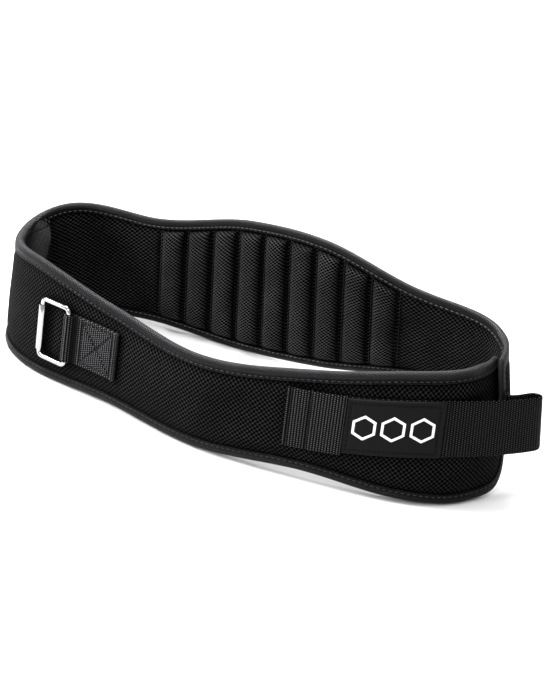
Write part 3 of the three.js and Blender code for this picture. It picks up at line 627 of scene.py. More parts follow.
RIB_HALF = 0.0118
RIB_LIFT = 0.0062
RIB_FROM_EDGE = TAPE_WIDTH + 0.0022
RIB_SUNK, RIB_BACK_SUNK = 0.0006, 0.0009
RIB_COLUMNS, RIB_ROWS = 27, 70
RIB_END_RADIUS, RIB_END_FADE = 0.005, 0.020
TUCK_PITCH, TUCK_DEPTH = 0.0085, 0.00018

rib_mesh = air_mesh("air_mesh_ribs", [(40, 0.0025), (-34, 0.0031)], "484849", 0.34)


def rib_pad(number):
    """A crowned pad that fades at both ends, worn a little uneven and tucked at its seams."""
    middle = FIRST_CHANNEL + RIB_PITCH * (number + 0.5)
    even = np.linspace(-1, 1, RIB_COLUMNS)[None, :]
    across = np.sin(even * math.pi / 2) * 0.35 + even * 0.65
    up = np.linspace(-1, 1, RIB_ROWS)[:, None]
    s = middle + RIB_HALF * across + 0 * up
    low, high = lower_edge(s) + RIB_FROM_EDGE, upper_edge(s) - RIB_FROM_EDGE
    z = (low + high) / 2 + (high - low) / 2 * up
    from_end = (high - low) / 2 * (1 - np.abs(up))
    crown = (1 - np.abs(across) ** 3.0) ** 0.6
    round_end = np.sqrt(1 - (1 - np.clip(from_end / RIB_END_RADIUS, 0, 1)) ** 2)
    taper = round_end * 0.85 + 0.15 * smooth_step(from_end / RIB_END_FADE)
    worn = 1 + 0.035 * np.sin(z * 160 + number * 2.3) + 0.03 * np.sin(z * 67 + number * 1.3)
    tuck = TUCK_DEPTH * np.sin(z * 2 * math.pi / TUCK_PITCH + number) * np.abs(across) ** 4
    rise = (RIB_LIFT + RIB_SUNK) * crown * taper * worn + tuck
    front = wall_point(s, RIB_SUNK - PANEL_HALF - rise, z)
    back = wall_point(s, RIB_BACK_SUNK - PANEL_HALF + 0 * z, z)
    # the mesh follows the pad's own curves, up its middle and across it
    run_up = run_along(front[:, RIB_COLUMNS // 2])[:, None]
    run_across = run_along(front[RIB_ROWS // 2])[None, :] + middle
    flat = np.stack(np.broadcast_arrays(run_across, run_up), -1)
    pad = slab(f"rib_cushion_{number + 1}", front, back, flat, [rib_mesh], sharp=80)
    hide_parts(f"rib_pad_{number + 1}")
    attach(pad, "belt")


for number in range(RIB_COUNT):
    rib_pad(number)


CHANNEL_STITCH = (0.0040, 0.0032, 0.0003)


def channel_stitches():
    rows = []
    for number in range(RIB_COUNT + 1):
        s = FIRST_CHANNEL + RIB_PITCH * number
        low, high = float(lower_edge(s)) + TAPE_WIDTH, float(upper_edge(s)) - TAPE_WIDTH
        z = np.linspace(low + 0.001, high - 0.001, 60)
        out = channel_dip(s, z) - panel_half(s, z, LINING)
        rows.append(wall_stitches(s, out, z, CHANNEL_STITCH, -1))
    return joined("channel_stitches", rows, tape_thread)


quilting = channel_stitches()
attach(quilting, "belt")


# Ring holder
# A short length of black nylon webbing folded round the ring's inner bar. Both layers are sewn
# to the outer face in a box with a cross, and the cut end is turned under as a thick ridge.

WEBBING_THICKNESS = 0.0015
HOLDER_HEIGHT = 0.046
PATCH_FROM = 0.402
HINGE_AT = 0.462
RING_MIDDLE_Z = 0.0525
WIRE_DIAMETER = 0.0048
HINGE_OUT = 0.0096
HOLDER_BACK = 0.0053
# middle, along the cut webbing, of a band of painted shadow beside the roll round the bar
HOLDER_SHADOW_BAND = 0.080
HOLDER_STEP = 0.0007
# how far the webbing goes round the bar beyond half a turn, in radians
HOLDER_OVERWRAP = 0.75
RIDGE_HEIGHT, RIDGE_TO, RIDGE_SLOPE, RIDGE_SEAM = 0.0011, 0.0052, 0.0012, 0.0026
BOX_FROM, BOX_TO, BOX_HALF = 0.4085, 0.4455, 0.0195
SEAM_DEPTH, SEAM_WIDTH, SEAM_MARGIN = 0.0010, 0.0011, 0.0008
BOX_STITCH = (0.0033, 0.0027, 0.0004)
BOX_STITCH_SUNK = 0.0008
# the top layer behind the ring's bar: how far back from the hinge, and how far above the lower one
HOLDER_NECK = np.array([[6.2, 2.6], [9.2, 1.6], [16.0, 1.5]]) / 1000
WEFT_RIB, WARP_THREAD = 0.0025, 0.0019
# places of the thin selvedge's points, as shares of half the width, and height of its loops
SELVEDGE, LOOP_HEIGHT = np.array([0.94, 0.97, 0.99, 1]), 0.00022


def nylon_webbing(name, value, gap, valley=None):
    """Heavy woven nylon webbing: ribs across its length, each a column of round thread humps that
    shine a little over dark gaps, drawn about twice as coarse as real ones so that they show.
    value is the threads' colour and gap the colour between them. valley: middle, along the cut
    webbing, of a band of painted shadow beside the fold round the bar."""
    made, tree, flat = new_material(name)
    net = node(tree, "VectorMath", {0: wandering(tree, flat, 3.33, 0.0005),
                                    1: (math.pi / WEFT_RIB, math.pi / WARP_THREAD, 0)},
               operation="MULTIPLY")
    place = node(tree, "SeparateXYZ", {0: net})
    ribs = node(tree, "Math", {0: place.outputs[0], 1: math.pi}, operation="DIVIDE")
    column = node(tree, "Math", {0: ribs}, operation="FLOOR")
    stagger = node(tree, "Math", {0: column, 1: math.pi / 2, 2: place.outputs[1]},
                   operation="MULTIPLY_ADD")
    humps = []
    for phase in (place.outputs[0], stagger):
        wave = node(tree, "Math", {0: phase}, operation="SINE")
        humps.append(node(tree, "Math", {0: wave}, operation="ABSOLUTE"))
    hump = node(tree, "Math", {0: humps[0], 1: humps[1]}, operation="MULTIPLY")
    raised = node(tree, "MapRange", {"Value": hump, "From Min": 0.5, "From Max": 1.0},
                  interpolation_type="SMOOTHSTEP")
    fuzz, dusty = mottled(tree, flat, millimetres=0.333, detail=2, low=0.75, high=1.25)
    shaded = shaded_hollows(tree, 0.008)
    if valley:
        # painted shadow: a dark band along the webbing beside the roll, where the roll shades it
        along = node(tree, "SeparateXYZ", {0: flat})
        off = node(tree, "Math", {0: along.outputs[0], 1: valley}, operation="SUBTRACT")
        beside = node(tree, "Math", {0: off}, operation="ABSOLUTE")
        valley_shadow = node(tree, "MapRange", {"Value": beside, "From Min": 0.0028, "From Max": 0.006,
                                         "To Min": 0.07, "To Max": 1.0})
        shaded = node(tree, "Math", {0: shaded, 1: valley_shadow}, operation="MULTIPLY")
    level = node(tree, "Math", {0: dusty, 1: shaded}, operation="MULTIPLY")
    threads = node(tree, "VectorMath", {0: colour(value)[:3], 1: level}, operation="MULTIPLY")
    shown = node(tree, "Mix", {0: raised, 6: colour(gap), 7: threads}, data_type="RGBA")
    height = node(tree, "Math", {0: fuzz, 1: 0.15, 2: raised}, operation="MULTIPLY_ADD")
    return dressed(made, {"Base Color": shown.outputs[2], "Roughness": 0.6, "Sheen Weight": 0.002,
                          "Sheen Roughness": 0.5, "Specular IOR Level": 0.03}, height, 0.0007)


# painted light: the holder is black nylon webbing like the strap, drawn in a much lighter grey so
# that it looks brightly lit from the left
lit_holder_weave = nylon_webbing("nylon_webbing_holder_lit", "666668", "020202", HOLDER_SHADOW_BAND)


def webbing(name, centre, across, outward, width, thickness, material, lift=None, columns=17):
    """A length of webbing along a line of points. across leads over its width, outward out of
    its face. The selvedges are thin, with a small loop of thread at each rib. lift: how far each
    point of the face is raised, or pulled down, given its reach from the line."""
    run = run_along(centre)[:, None]
    place = np.concatenate([-SELVEDGE[::-1], np.linspace(-0.88, 0.88, columns), SELVEDGE])
    half = thickness / 2 * np.clip((1 - np.abs(place)) / 0.05, 0, 1) ** 0.5
    half = np.maximum(half, thickness * 0.08)
    loops = LOOP_HEIGHT * np.sin(2 * math.pi * run / WEFT_RIB) * (np.abs(place) > 0.96)
    reach = place * width / 2 + np.sign(place) * loops
    lifted = half + (0 * reach if lift is None else lift(reach))
    layer = centre[:, None] + across[:, None] * reach[..., None]
    face = layer + outward[:, None] * lifted[..., None]
    back = layer - outward[:, None] * half[None, :, None]
    flat = np.stack(np.broadcast_arrays(run, reach), -1)
    return slab(name, face, back, flat, [material], sharp=65)


def plan_normals(points):
    """Level unit vectors square to a line of points, on its right hand."""
    run = np.gradient(points, axis=0)
    normal = np.stack([run[:, 1], -run[:, 0], 0 * run[:, 0]], -1)
    return normal / np.linalg.norm(normal, axis=1, keepdims=True)


def wall_slope(s):
    """How the wall leans at s: the way that a point of it moves for each metre up."""
    return (wall_point(s, 0, 0.05) - wall_point(s, 0, 0.04)) / 0.01


def evenly(points, step):
    """The same line as points about one step apart. Columns after the third are carried along."""
    run = run_along(points[:, :3])
    place = np.linspace(0, run[-1], round(run[-1] / step))
    return np.stack([np.interp(place, run, column) for column in points.T], -1)


def holder_line():
    """The webbing's middle from its cut end out to the hinge, round the bar and back over itself,
    as places along the wall and out from it."""
    layer = HOLDER_BACK + WEBBING_THICKNESS / 2
    radius = HINGE_OUT - layer
    angle = np.linspace(0, math.pi + HOLDER_OVERWRAP, 25) - math.pi / 2
    wrap = np.stack([HINGE_AT + radius * np.cos(angle), HINGE_OUT + radius * np.sin(angle)], -1)
    neck = np.array([HINGE_AT, layer]) + HOLDER_NECK * (-1, 1)
    last = [PATCH_FROM + 0.001, neck[-1, 1]]
    below = [[PATCH_FROM, layer], [HINGE_AT - 0.002, layer]]
    return evenly(np.concatenate([below, wrap, neck, [last]]), HOLDER_STEP)


def ring_holder():
    line = holder_line()
    centre = wall_point(line[:, 0], line[:, 1], RING_MIDDLE_Z)
    outward = plan_normals(centre)
    s = line[:, :1]
    top = np.arange(len(line))[:, None] > len(line) / 2

    def pulled(reach):
        """The turned-under end, and the valleys that the seams of the box and cross pull."""
        ridge = RIDGE_HEIGHT * smooth_step((PATCH_FROM + RIDGE_TO - s) / RIDGE_SLOPE)
        slope = 2 * BOX_HALF / (BOX_TO - BOX_FROM)
        skew = (s - (BOX_FROM + BOX_TO) / 2) * slope
        long_way = math.hypot(1, slope)
        seams = [np.abs(reach - skew) / long_way, np.abs(reach + skew) / long_way,
                 np.abs(s - BOX_FROM) + 0 * reach, np.abs(s - BOX_TO) + 0 * reach,
                 np.abs(np.abs(reach) - BOX_HALF) + 0 * s]
        inside = (s > BOX_FROM - SEAM_MARGIN) & (s < BOX_TO + SEAM_MARGIN)
        inside = inside & (np.abs(reach) < BOX_HALF + SEAM_MARGIN)
        valley = SEAM_DEPTH * bump_at(np.minimum.reduce(seams), SEAM_WIDTH)
        return np.where(top, ridge - valley * inside, 0)

    if np.dot(outward[-1], centre[-1] - wall_point(line[-1, 0], 0, RING_MIDDLE_Z)) < 0:
        outward = -outward
    return webbing("ring_holder", centre, wall_slope(line[:, 0]), outward, HOLDER_HEIGHT,
                   WEBBING_THICKNESS, lit_holder_weave, pulled, 61)


holder = ring_holder()
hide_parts("ring_loop")
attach(holder, "belt")


def holder_stitches():
    """Seams of the box and its cross, sunk in their valleys, and one over the turned end's ridge."""
    face = HOLDER_BACK + 2 * WEBBING_THICKNESS
    low, high = RING_MIDDLE_Z - BOX_HALF, RING_MIDDLE_Z + BOX_HALF
    sunk = face - BOX_STITCH_SUNK
    ridge = PATCH_FROM + RIDGE_SEAM
    lines = [
        (BOX_FROM, low, BOX_TO, low, sunk), (BOX_FROM, high, BOX_TO, high, sunk),
        (BOX_FROM, low, BOX_FROM, high, sunk), (BOX_TO, low, BOX_TO, high, sunk),
        (BOX_FROM, low, BOX_TO, high, sunk), (BOX_FROM, high, BOX_TO, low, sunk),
        (ridge, low, ridge, high, face + RIDGE_HEIGHT),
    ]
    rows = [wall_stitches(np.linspace(s0, s1, 24), out, np.linspace(z0, z1, 24), BOX_STITCH)
            for s0, z0, s1, z1, out in lines]
    return joined("holder_stitches", rows, holder_thread)


holder_thread = sewing_thread("nylon_thread_holder", "0b0b0c")
box_cross = holder_stitches()
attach(box_cross, "belt")


# Ring and roller
# A rectangular ring of bent and welded steel wire, chrome plated, that hinges in its holder. A
# short steel tube turns freely on its outer bar, so that the strap runs over it.

RING_BARS_APART = 0.033
RING_INSIDE_HEIGHT = 0.051
RING_CORNER_RADIUS = 0.0046
ROLLER_OUT = 0.0095
ROLLER_DIAMETER = 0.0072
ROLLER_LENGTH = 0.044
ROLLER_BORE = WIRE_DIAMETER / 2 + 0.0003


def ring_matrix():
    """The ring's place: its hinge line is up, and the ring reaches away from it along x."""
    half = RING_INSIDE_HEIGHT / 2
    places = ((HINGE_AT, HINGE_OUT, RING_MIDDLE_Z), (HINGE_AT, HINGE_OUT, RING_MIDDLE_Z + half),
              (HINGE_AT, HINGE_OUT, RING_MIDDLE_Z - half),
              (HINGE_AT + RING_BARS_APART, ROLLER_OUT, RING_MIDDLE_Z))
    origin, top, low, bar = (Vector(wall_point(*place).tolist()) for place in places)
    up = (top - low).normalized()
    away = bar - origin
    away = (away - up * away.dot(up)).normalized()
    side = up.cross(away)
    return Matrix((away, side, up)).transposed(), origin


def placed_on_ring(points):
    """Points given from the middle of the ring's hinge, moved to where the ring is at rest."""
    turn, origin = ring_matrix()
    return points @ np.array(turn).T + np.array(origin)


def plated_steel():
    """Bright chrome plate on steel: a near mirror, with faint ripples of the bent wire."""
    made, tree, place = new_material("chrome_plated_steel", "Object")
    ripple = node(tree, "TexNoise", {"Vector": place, "Scale": 1000 / 6.25, "Detail": 2})
    smear, rough = mottled(tree, place, millimetres=2.38, detail=4, low=0.06, high=0.17,
                           contrast=(0.35, 0.75))
    level = node(tree, "MapRange", {"Value": smear, "From Min": 0.3, "From Max": 0.8,
                                    "To Min": 0.92, "To Max": 1.0})
    shown = node(tree, "VectorMath", {0: colour("acadae")[:3], 1: level}, operation="MULTIPLY")
    return dressed(made, {"Base Color": shown, "Metallic": 1, "Roughness": rough}, ripple, 0.00002)


chrome = plated_steel()


def ring_wire():
    half = (RING_INSIDE_HEIGHT + WIRE_DIAMETER) / 2
    r = RING_CORNER_RADIUS
    corners = [(RING_BARS_APART - r, half - r, 0), (r, half - r, 90), (r, r - half, 180),
               (RING_BARS_APART - r, r - half, 270)]
    angle = np.radians(np.linspace(0, 90, 11))
    line = np.array([(x, z, math.cos(a), math.sin(a))
                     for x, z, start in corners for a in math.radians(start) + angle])
    around = np.linspace(0, 2 * math.pi, 24, endpoint=False)
    reach = r + WIRE_DIAMETER / 2 * np.cos(around)
    points = np.stack([line[:, 0, None] + reach * line[:, 2, None],
                       WIRE_DIAMETER / 2 * np.sin(around) + 0 * line[:, :1],
                       line[:, 1, None] + reach * line[:, 3, None]], -1)
    uv = np.zeros((len(line) + 1, len(around) + 1, 2))
    return surface("wire_ring", placed_on_ring(points), uv, [chrome], around=True, along=True)


def ring_roller():
    """A rolled steel tube with softened rims, open at both ends."""
    half, outer, soft, fine = ROLLER_LENGTH / 2, ROLLER_DIAMETER / 2, 0.0005, 0.00015
    upper = [(outer, half / 3), (outer, half - soft), (outer - fine, half - fine),
             (outer - soft, half), (ROLLER_BORE + 0.0002, half), (ROLLER_BORE, half - soft)]
    profile = np.array([(radius, -height) for radius, height in upper[::-1]] + upper)
    angle = np.linspace(0, 2 * math.pi, 40, endpoint=False)[:, None]
    points = np.stack([RING_BARS_APART + profile[None, :, 0] * np.cos(angle),
                       profile[None, :, 0] * np.sin(angle), profile[None, :, 1] + 0 * angle], -1)
    uv = np.zeros((len(angle) + 1, len(profile) + 1, 2))
    return surface("roller_tube", placed_on_ring(points), uv, [chrome], around=True, along=True,
                   sharp=35)


wire = ring_wire()
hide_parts("ring_wire")
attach(wire, "ring")
roller = ring_roller()
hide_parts("ring_roller")
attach(roller, "roller")


# Closing strap
# Heavy black nylon webbing, about 50 mm wide. It is sewn to the far end, turns back over that
# end's edge, stands out in a loop round the right bend and lies back along the near end's face.

STRAP_WIDTH = 0.051
STRAP_THICKNESS = 0.0018
STRAP_OUT = 0.0062
STRAP_FREE_END = 0.224
STRAP_LEAVES_AT = 0.086
STRAP_SEWN_LENGTH = 0.014
STRAP_SEWN_Z = 0.0665
CREASE_RADIUS = 0.0012
CREASE_TURN = 155
STRAP_STEP = 0.0009
# the loop's outermost knot, and how far the webbing leans back there, in degrees
TIP_KNOT, TIP_LEAN = 7, 8
# place along the wall and height of the middle line
STRAP_LAID = np.array([[0.086, 0.072], [0.108, 0.071], [0.131, 0.0685], [0.154, 0.0655],
                       [0.177, 0.0625], [0.2, 0.0605], [0.224, 0.0595]])
# distance past the place where it leaves the wall, distance inwards from there, height
STRAP_LOOP = np.array([[20, 0.8, 71.5], [40, 2.6, 71], [57, 5, 70.5], [74, 8.4, 70],
                       [83.5, 12, 69.5], [86.5, 17, 69], [82, 21.4, 68], [70, 21.4, 66]]) / 1000


def strap_middle(s):
    """Height of the strap's middle line where it lies on the wall."""
    return np.interp(s, STRAP_LAID[:, 0], STRAP_LAID[:, 1])


def spline(knots, t):
    """Smooth curve through knots, at t from 0 to 1, which doesn't swing out between them."""
    ends = np.concatenate([[2 * knots[0] - knots[1]], knots, [2 * knots[-1] - knots[-2]]])
    place = t * (len(knots) - 1)
    i = np.minimum(place.astype(int), len(knots) - 2)
    w = (place - i)[:, None]
    p0, p1, p2, p3 = (ends[i + k] for k in range(4))
    d0, d1, d2 = (np.maximum(np.linalg.norm(b - a, axis=1), 1e-9)[:, None] ** 0.5
                  for a, b in ((p0, p1), (p1, p2), (p2, p3)))
    t1 = ((p1 - p0) / d0 - (p2 - p0) / (d0 + d1) + (p2 - p1) / d1) * d1
    t2 = ((p2 - p1) / d1 - (p3 - p1) / (d1 + d2) + (p3 - p2) / d2) * d1
    c2 = -3 * p1 + 3 * p2 - 2 * t1 - t2
    c3 = 2 * p1 - 2 * p2 + t1 + t2
    return p1 + t1 * w + c2 * w ** 2 + c3 * w ** 3


def crease(turned):
    """The strap's tight turn round the edge of the far end: places along the wall and out from it,
    turned by so many degrees from the stretch that is sewn down."""
    angle = np.radians(turned)
    s = BELT_LENGTH - 2 * CREASE_RADIUS + CREASE_RADIUS * np.sin(angle)
    return s, STRAP_OUT + CREASE_RADIUS * (1 - np.cos(angle))


def strap_course():
    """Middle line of the strap with the slope of its width, from the free end to the sewn end."""
    s = np.linspace(STRAP_FREE_END, STRAP_LEAVES_AT, 200)
    laid = wall_point(s, STRAP_OUT, strap_middle(s))
    laid_slope = wall_slope(s)
    s_crease, out_crease = crease(CREASE_TURN * np.linspace(1, 0, 9))
    s_flat = np.linspace(BELT_LENGTH - 0.004, BELT_LENGTH - STRAP_SEWN_LENGTH, 12)
    s_sewn = np.concatenate([s_crease, s_flat])
    out = np.concatenate([out_crease, 0 * s_flat + STRAP_OUT])
    sewn = wall_point(s_sewn, out, STRAP_SEWN_Z)
    sewn_slope = wall_slope(s_sewn)
    last = laid[-1]
    along = last - wall_point(STRAP_LEAVES_AT + 0.001, STRAP_OUT, last[2] - COURSE_SHIFT[2])
    along /= np.linalg.norm(along)
    inward = np.array([-along[1], along[0], 0])
    free = last + along * STRAP_LOOP[:, :1] + inward * STRAP_LOOP[:, 1:2]
    free[:, 2] = STRAP_LOOP[:, 2]
    # one more knot at each end, so that the loop sets off along the two stretches that it joins
    s_before = STRAP_LEAVES_AT + (STRAP_FREE_END - STRAP_LEAVES_AT) / 15
    before = wall_point(s_before, STRAP_OUT, strap_middle(s_before))
    after = wall_point(*crease(CREASE_TURN * 0.75), STRAP_SEWN_Z)
    knots = np.concatenate([[before], [last], free, [sewn[0]], [after]])
    count = len(knots) - 1
    t = (1 + (count - 2) * np.linspace(0, 1, 302)[1:-1]) / count
    loop = spline(knots, t)
    tip = np.array([0, 0, 1]) - along * math.tan(math.radians(TIP_LEAN))
    tip_at = TIP_KNOT / count
    share = np.where(t < tip_at, t / tip_at, (1 - t) / (1 - tip_at))[:, None]
    base = np.where((t < tip_at)[:, None], laid_slope[-1], sewn_slope[0])
    slope = base + (tip - base) * share
    line = np.concatenate([laid, loop, sewn])
    return np.hstack([line, np.concatenate([laid_slope, slope, sewn_slope])])


strap_weave = nylon_webbing("nylon_webbing_strap", "3a3a3b", "020202")
strap_line, strap_slope = np.hsplit(evenly(strap_course(), STRAP_STEP), 2)
strap = webbing("closing_strap", strap_line, strap_slope, plan_normals(strap_line), STRAP_WIDTH,
                STRAP_THICKNESS, strap_weave)
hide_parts("strap")
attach(strap, "belt")

# the free end is folded under and sewn down as a hem, a little wider than the strap
HEM_FROM, HEM_TO, HEM_HEIGHT, HEM_THICKNESS = 0.172, 0.223, 0.054, 0.0016
HEM_SEAMS = (0.2190, 0.2025)
HEM_SEAM_DEPTH, HEM_SEAM_WIDTH, HEM_SEAM_HALF = 0.0013, 0.0014, 0.0245
HEM_STITCH = (0.0034, 0.0028, 0.0004)
HEM_STITCH_SUNK = 0.0010
STRAP_FACE = STRAP_OUT + STRAP_THICKNESS / 2 + 0.0003

hem_weave = nylon_webbing("nylon_webbing_hem", "525254", "020202")


def strap_hem():
    s = np.linspace(HEM_TO, HEM_FROM, 110)
    valleys = sum(HEM_SEAM_DEPTH * bump_at(s - seam, HEM_SEAM_WIDTH) for seam in HEM_SEAMS)[:, None]
    centre = wall_point(s, STRAP_FACE + HEM_THICKNESS / 2, strap_middle(s))
    return webbing("strap_end_fold", centre, wall_slope(s), plan_normals(centre), HEM_HEIGHT,
                   HEM_THICKNESS, hem_weave, lambda reach: 0 * reach - valleys)


hem = strap_hem()
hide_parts("strap_hem")
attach(hem, "belt")


def hem_stitches():
    rows = []
    for s in HEM_SEAMS:
        z = strap_middle(s) + np.linspace(-HEM_SEAM_HALF, HEM_SEAM_HALF, 30)
        rows.append(wall_stitches(s, STRAP_FACE + HEM_THICKNESS - HEM_STITCH_SUNK, z, HEM_STITCH))
    return joined("hem_stitches", rows, holder_thread)


hem_seam = hem_stitches()
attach(hem_seam, "belt")


# Label patch
# A moulded patch of soft black PVC with a bevelled rim, sewn to the strap by one row of stitches
# in a shallow groove. Its print is a plain row of white outlines.

LABEL_FROM, LABEL_TO, LABEL_HEIGHT, LABEL_THICKNESS = 0.091, 0.1715, 0.050, 0.0014
# the rim's bevel, the sewn groove and the step down to the face, all from the outer edge inwards
LABEL_BEVEL, LABEL_GROOVE, LABEL_GROOVE_HALF = 0.0011, 0.0038, 0.0007
RIM_FROM, RIM_OVER = 0.0018, 0.0008
LABEL_STITCH = (0.0040, 0.0026, 0.00045)
LABEL_STITCH_SUNK = 0.0004
# shares of its thickness: height of its outer edge, depth of the groove, drop from rim to face
LABEL_EDGE, GROOVE_SHARE, RIM_SHARE = 0.45, 0.50, 0.12
LABEL_FACE = STRAP_FACE + LABEL_THICKNESS * (1 - RIM_SHARE)


def soft_pvc():
    """Soft moulded PVC: even dark grey with a fine matt grain and a slight rubbery gloss."""
    made, tree, flat = new_material("soft_pvc_patch")
    fine = node(tree, "TexNoise", {"Vector": flat, "Scale": 1000 / 0.385, "Detail": 3})
    tone, level = mottled(tree, flat, millimetres=16.7, detail=3, low=0.85, high=1.15,
                          contrast=(0, 1))
    rough = node(tree, "MapRange", {"Value": tone, "To Min": 0.42, "To Max": 0.58})
    shown = node(tree, "VectorMath", {0: colour("0c0c0d")[:3], 1: level}, operation="MULTIPLY")
    return dressed(made, {"Base Color": shown, "Roughness": rough, "Specular IOR Level": 0.06},
                   fine, 0.00012)


def label_patch():
    s = np.linspace(LABEL_FROM, LABEL_TO, 110)[:, None]
    v = np.linspace(-1, 1, 72)[None, :] * LABEL_HEIGHT / 2
    border = np.minimum(np.minimum(s - LABEL_FROM, LABEL_TO - s), LABEL_HEIGHT / 2 - np.abs(v))
    rise = LABEL_EDGE + (1 - LABEL_EDGE) * smooth_step(border / LABEL_BEVEL)
    rise = rise - GROOVE_SHARE * bump_at(border - LABEL_GROOVE, LABEL_GROOVE_HALF)
    rise = rise - RIM_SHARE * smooth_step((border - RIM_FROM) / RIM_OVER)
    z = strap_middle(s) + v
    s = np.broadcast_to(s, z.shape)
    face = wall_point(s, STRAP_FACE + LABEL_THICKNESS * rise, z)
    back = wall_point(s, STRAP_FACE, z)
    return slab("pvc_label", face, back, np.stack([s, z], -1), [soft_pvc()], sharp=60)


label = label_patch()
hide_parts("label_patch")
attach(label, "belt")


def label_stitches():
    left, right = LABEL_FROM + LABEL_GROOVE, LABEL_TO - LABEL_GROOVE
    half = LABEL_HEIGHT / 2 - LABEL_GROOVE
    corners = [(left, -half), (right, -half), (right, half), (left, half), (left, -half)]
    rows = []
    for (s0, v0), (s1, v1) in zip(corners, corners[1:]):
        s, v = np.linspace(s0, s1, 30), np.linspace(v0, v1, 30)
        z = strap_middle(s) + v
        rows.append(wall_stitches(s, LABEL_FACE - LABEL_STITCH_SUNK, z, LABEL_STITCH))
    return joined("label_stitches", rows, label_thread)


label_thread = sewing_thread("nylon_thread_label", "020202")
label_seam = label_stitches()
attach(label_seam, "belt")

HEXAGONS, HEXAGON_RADIUS, HEXAGON_LINE = 3, 0.0113, 0.0024
HEXAGON_PITCH = HEXAGON_RADIUS * 2.1
HEXAGON_POINTS = 72
PRINT_FILM = 0.00012


def white_print():
    """White screen print: a thin opaque ink film, slightly uneven, with a soft gloss."""
    made, tree, place = new_material("white_screen_print", "Object")
    film, level = mottled(tree, place, millimetres=0.667, detail=3, low=0.86, high=1.0,
                          contrast=(0, 1))
    shown = node(tree, "VectorMath", {0: colour("e9e9ea")[:3], 1: level}, operation="MULTIPLY")
    return dressed(made, {"Base Color": shown, "Roughness": 0.5}, film, 0.00005)


def label_print():
    """Outlines of hexagons in a row, each four rings of points: foot and top, outside and in."""
    turn = np.arange(HEXAGON_POINTS) * 2 * math.pi / HEXAGON_POINTS
    reach = math.cos(math.pi / 6) / np.cos((turn + math.pi / 6) % (math.pi / 3) - math.pi / 6)
    inner = HEXAGON_RADIUS - HEXAGON_LINE
    rings = [(HEXAGON_RADIUS, 0), (HEXAGON_RADIUS, PRINT_FILM), (inner, PRINT_FILM), (inner, 0)]
    j = np.arange(HEXAGON_POINTS)
    k = (j + 1) % HEXAGON_POINTS
    faces = np.concatenate([np.stack([a + j, a + k, b + k, b + j], -1) for a, b in
                            HEXAGON_POINTS * np.array([(0, 1), (1, 2), (2, 3), (3, 0)])])
    parts = []
    for number in range(HEXAGONS):
        middle = (LABEL_FROM + LABEL_TO) / 2 + (number - (HEXAGONS - 1) / 2) * HEXAGON_PITCH
        points = []
        for radius, lift in rings:
            s = middle + radius * reach * np.cos(turn)
            z = strap_middle(s) + radius * reach * np.sin(turn)
            points.append(wall_point(s, LABEL_FACE + lift, z))
        parts.append((np.concatenate(points), faces))
    return joined("label_print", parts, white_print())


print_row = label_print()
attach(print_row, "belt")


# Floor, light and camera
# A plain pale sweep of paper, one broad even light from above, three weaker soft ones from the
# left, the front and the back, and a camera that looks down on the belt from its near side.

FLOOR_REACH, FLOOR_DROP = 6.0, 0.0002


def white_paper():
    """Seamless white background paper: matt, almost even, with no visible grain at this scale."""
    made, tree, place = new_material("background_paper", "Object")
    fibre, level = mottled(tree, place, millimetres=2.5, detail=3, low=0.99, high=1.0,
                           contrast=(0, 1))
    shown = node(tree, "VectorMath", {0: colour("c6c6c6")[:3], 1: level}, operation="MULTIPLY")
    return dressed(made, {"Base Color": shown, "Roughness": 0.9}, fibre, 0.00002)


def paper_floor():
    grid = np.linspace(-FLOOR_REACH, FLOOR_REACH, 9)
    x, y = np.meshgrid(grid, grid, indexing="ij")
    points = np.stack([x, y, 0 * x - FLOOR_DROP], -1)
    return surface("paper_floor", points, np.stack([x, y], -1), [white_paper()])


paper_floor()

BELT_MIDDLE = Vector((0, 0, 0.06))
SKY_FROM, SKY_WIDTH, SKY_STRENGTH, WORLD_STRENGTH = (-0.45, 0.0, 1.45), 32, 5.6, 0.75
# name, place, width across and power
SOFT_LIGHTS = [("light_left", (-1.5, -0.45, 0.85), 0.5, 64),
               ("light_front", (-0.1, -1.3, 1.3), 0.6, 14),
               ("light_back", (-0.5, 1.6, 1.0), 0.6, 40)]


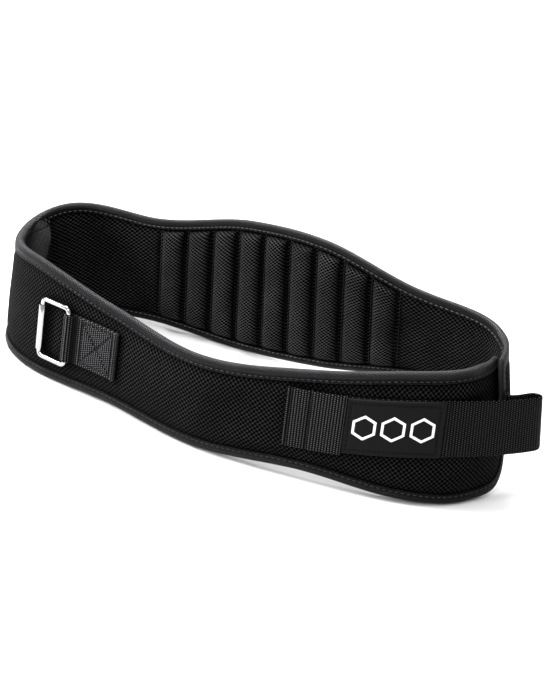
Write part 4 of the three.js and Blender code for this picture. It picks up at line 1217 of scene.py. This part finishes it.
def light_above():
    lamp = bpy.data.lights.new("light_above", "SUN")
    lamp.energy = SKY_STRENGTH
    lamp.angle = math.radians(SKY_WIDTH)
    made = in_scene("light_above", lamp)
    made.rotation_euler = Vector(SKY_FROM).to_track_quat("Z", "Y").to_euler()


def soft_light(name, place, size, power):
    lamp = bpy.data.lights.new(name, "AREA")
    lamp.shape = "DISK"
    lamp.size = size
    lamp.energy = power
    made = in_scene(name, lamp)
    made.location = place
    made.rotation_euler = (BELT_MIDDLE - Vector(place)).to_track_quat("-Z", "Y").to_euler()


light_above()
for settings in SOFT_LIGHTS:
    soft_light(*settings)

world = bpy.data.worlds.new("studio")
world.use_nodes = True
background = world.node_tree.nodes["Background"]
background.inputs["Color"].default_value = (1, 1, 1, 1)
background.inputs["Strength"].default_value = WORLD_STRENGTH
bpy.context.scene.world = world
bpy.context.scene.view_settings.view_transform = "Standard"

CAMERA_PLACE = (0.3538, -1.0143, 0.5923)
CAMERA_AZIMUTH, CAMERA_DOWN, CAMERA_ROLL = map(math.radians, (18.32, 26.21, 5.60))
CAMERA_LENS, CAMERA_SENSOR = 85.1, 36


def photo_camera():
    """The camera's place, direction and lens, fitted to the photograph's edges of the belt."""
    turned = Vector((math.cos(CAMERA_AZIMUTH), math.sin(CAMERA_AZIMUTH), 0))
    level = Vector((-math.sin(CAMERA_AZIMUTH), math.cos(CAMERA_AZIMUTH), 0))
    ahead = level * math.cos(CAMERA_DOWN) - Vector((0, 0, math.sin(CAMERA_DOWN)))
    up = turned.cross(ahead)
    right = turned * math.cos(CAMERA_ROLL) + up * math.sin(CAMERA_ROLL)
    above = up * math.cos(CAMERA_ROLL) - turned * math.sin(CAMERA_ROLL)
    lens = bpy.data.cameras.new("photo_camera")
    lens.sensor_fit = "HORIZONTAL"
    lens.sensor_width = CAMERA_SENSOR
    lens.lens = CAMERA_LENS
    made = in_scene("photo_camera", lens)
    facing = Matrix((right, above, -ahead)).transposed().to_4x4()
    made.matrix_world = Matrix.Translation(CAMERA_PLACE) @ facing
    return made


bpy.context.scene.camera = photo_camera()
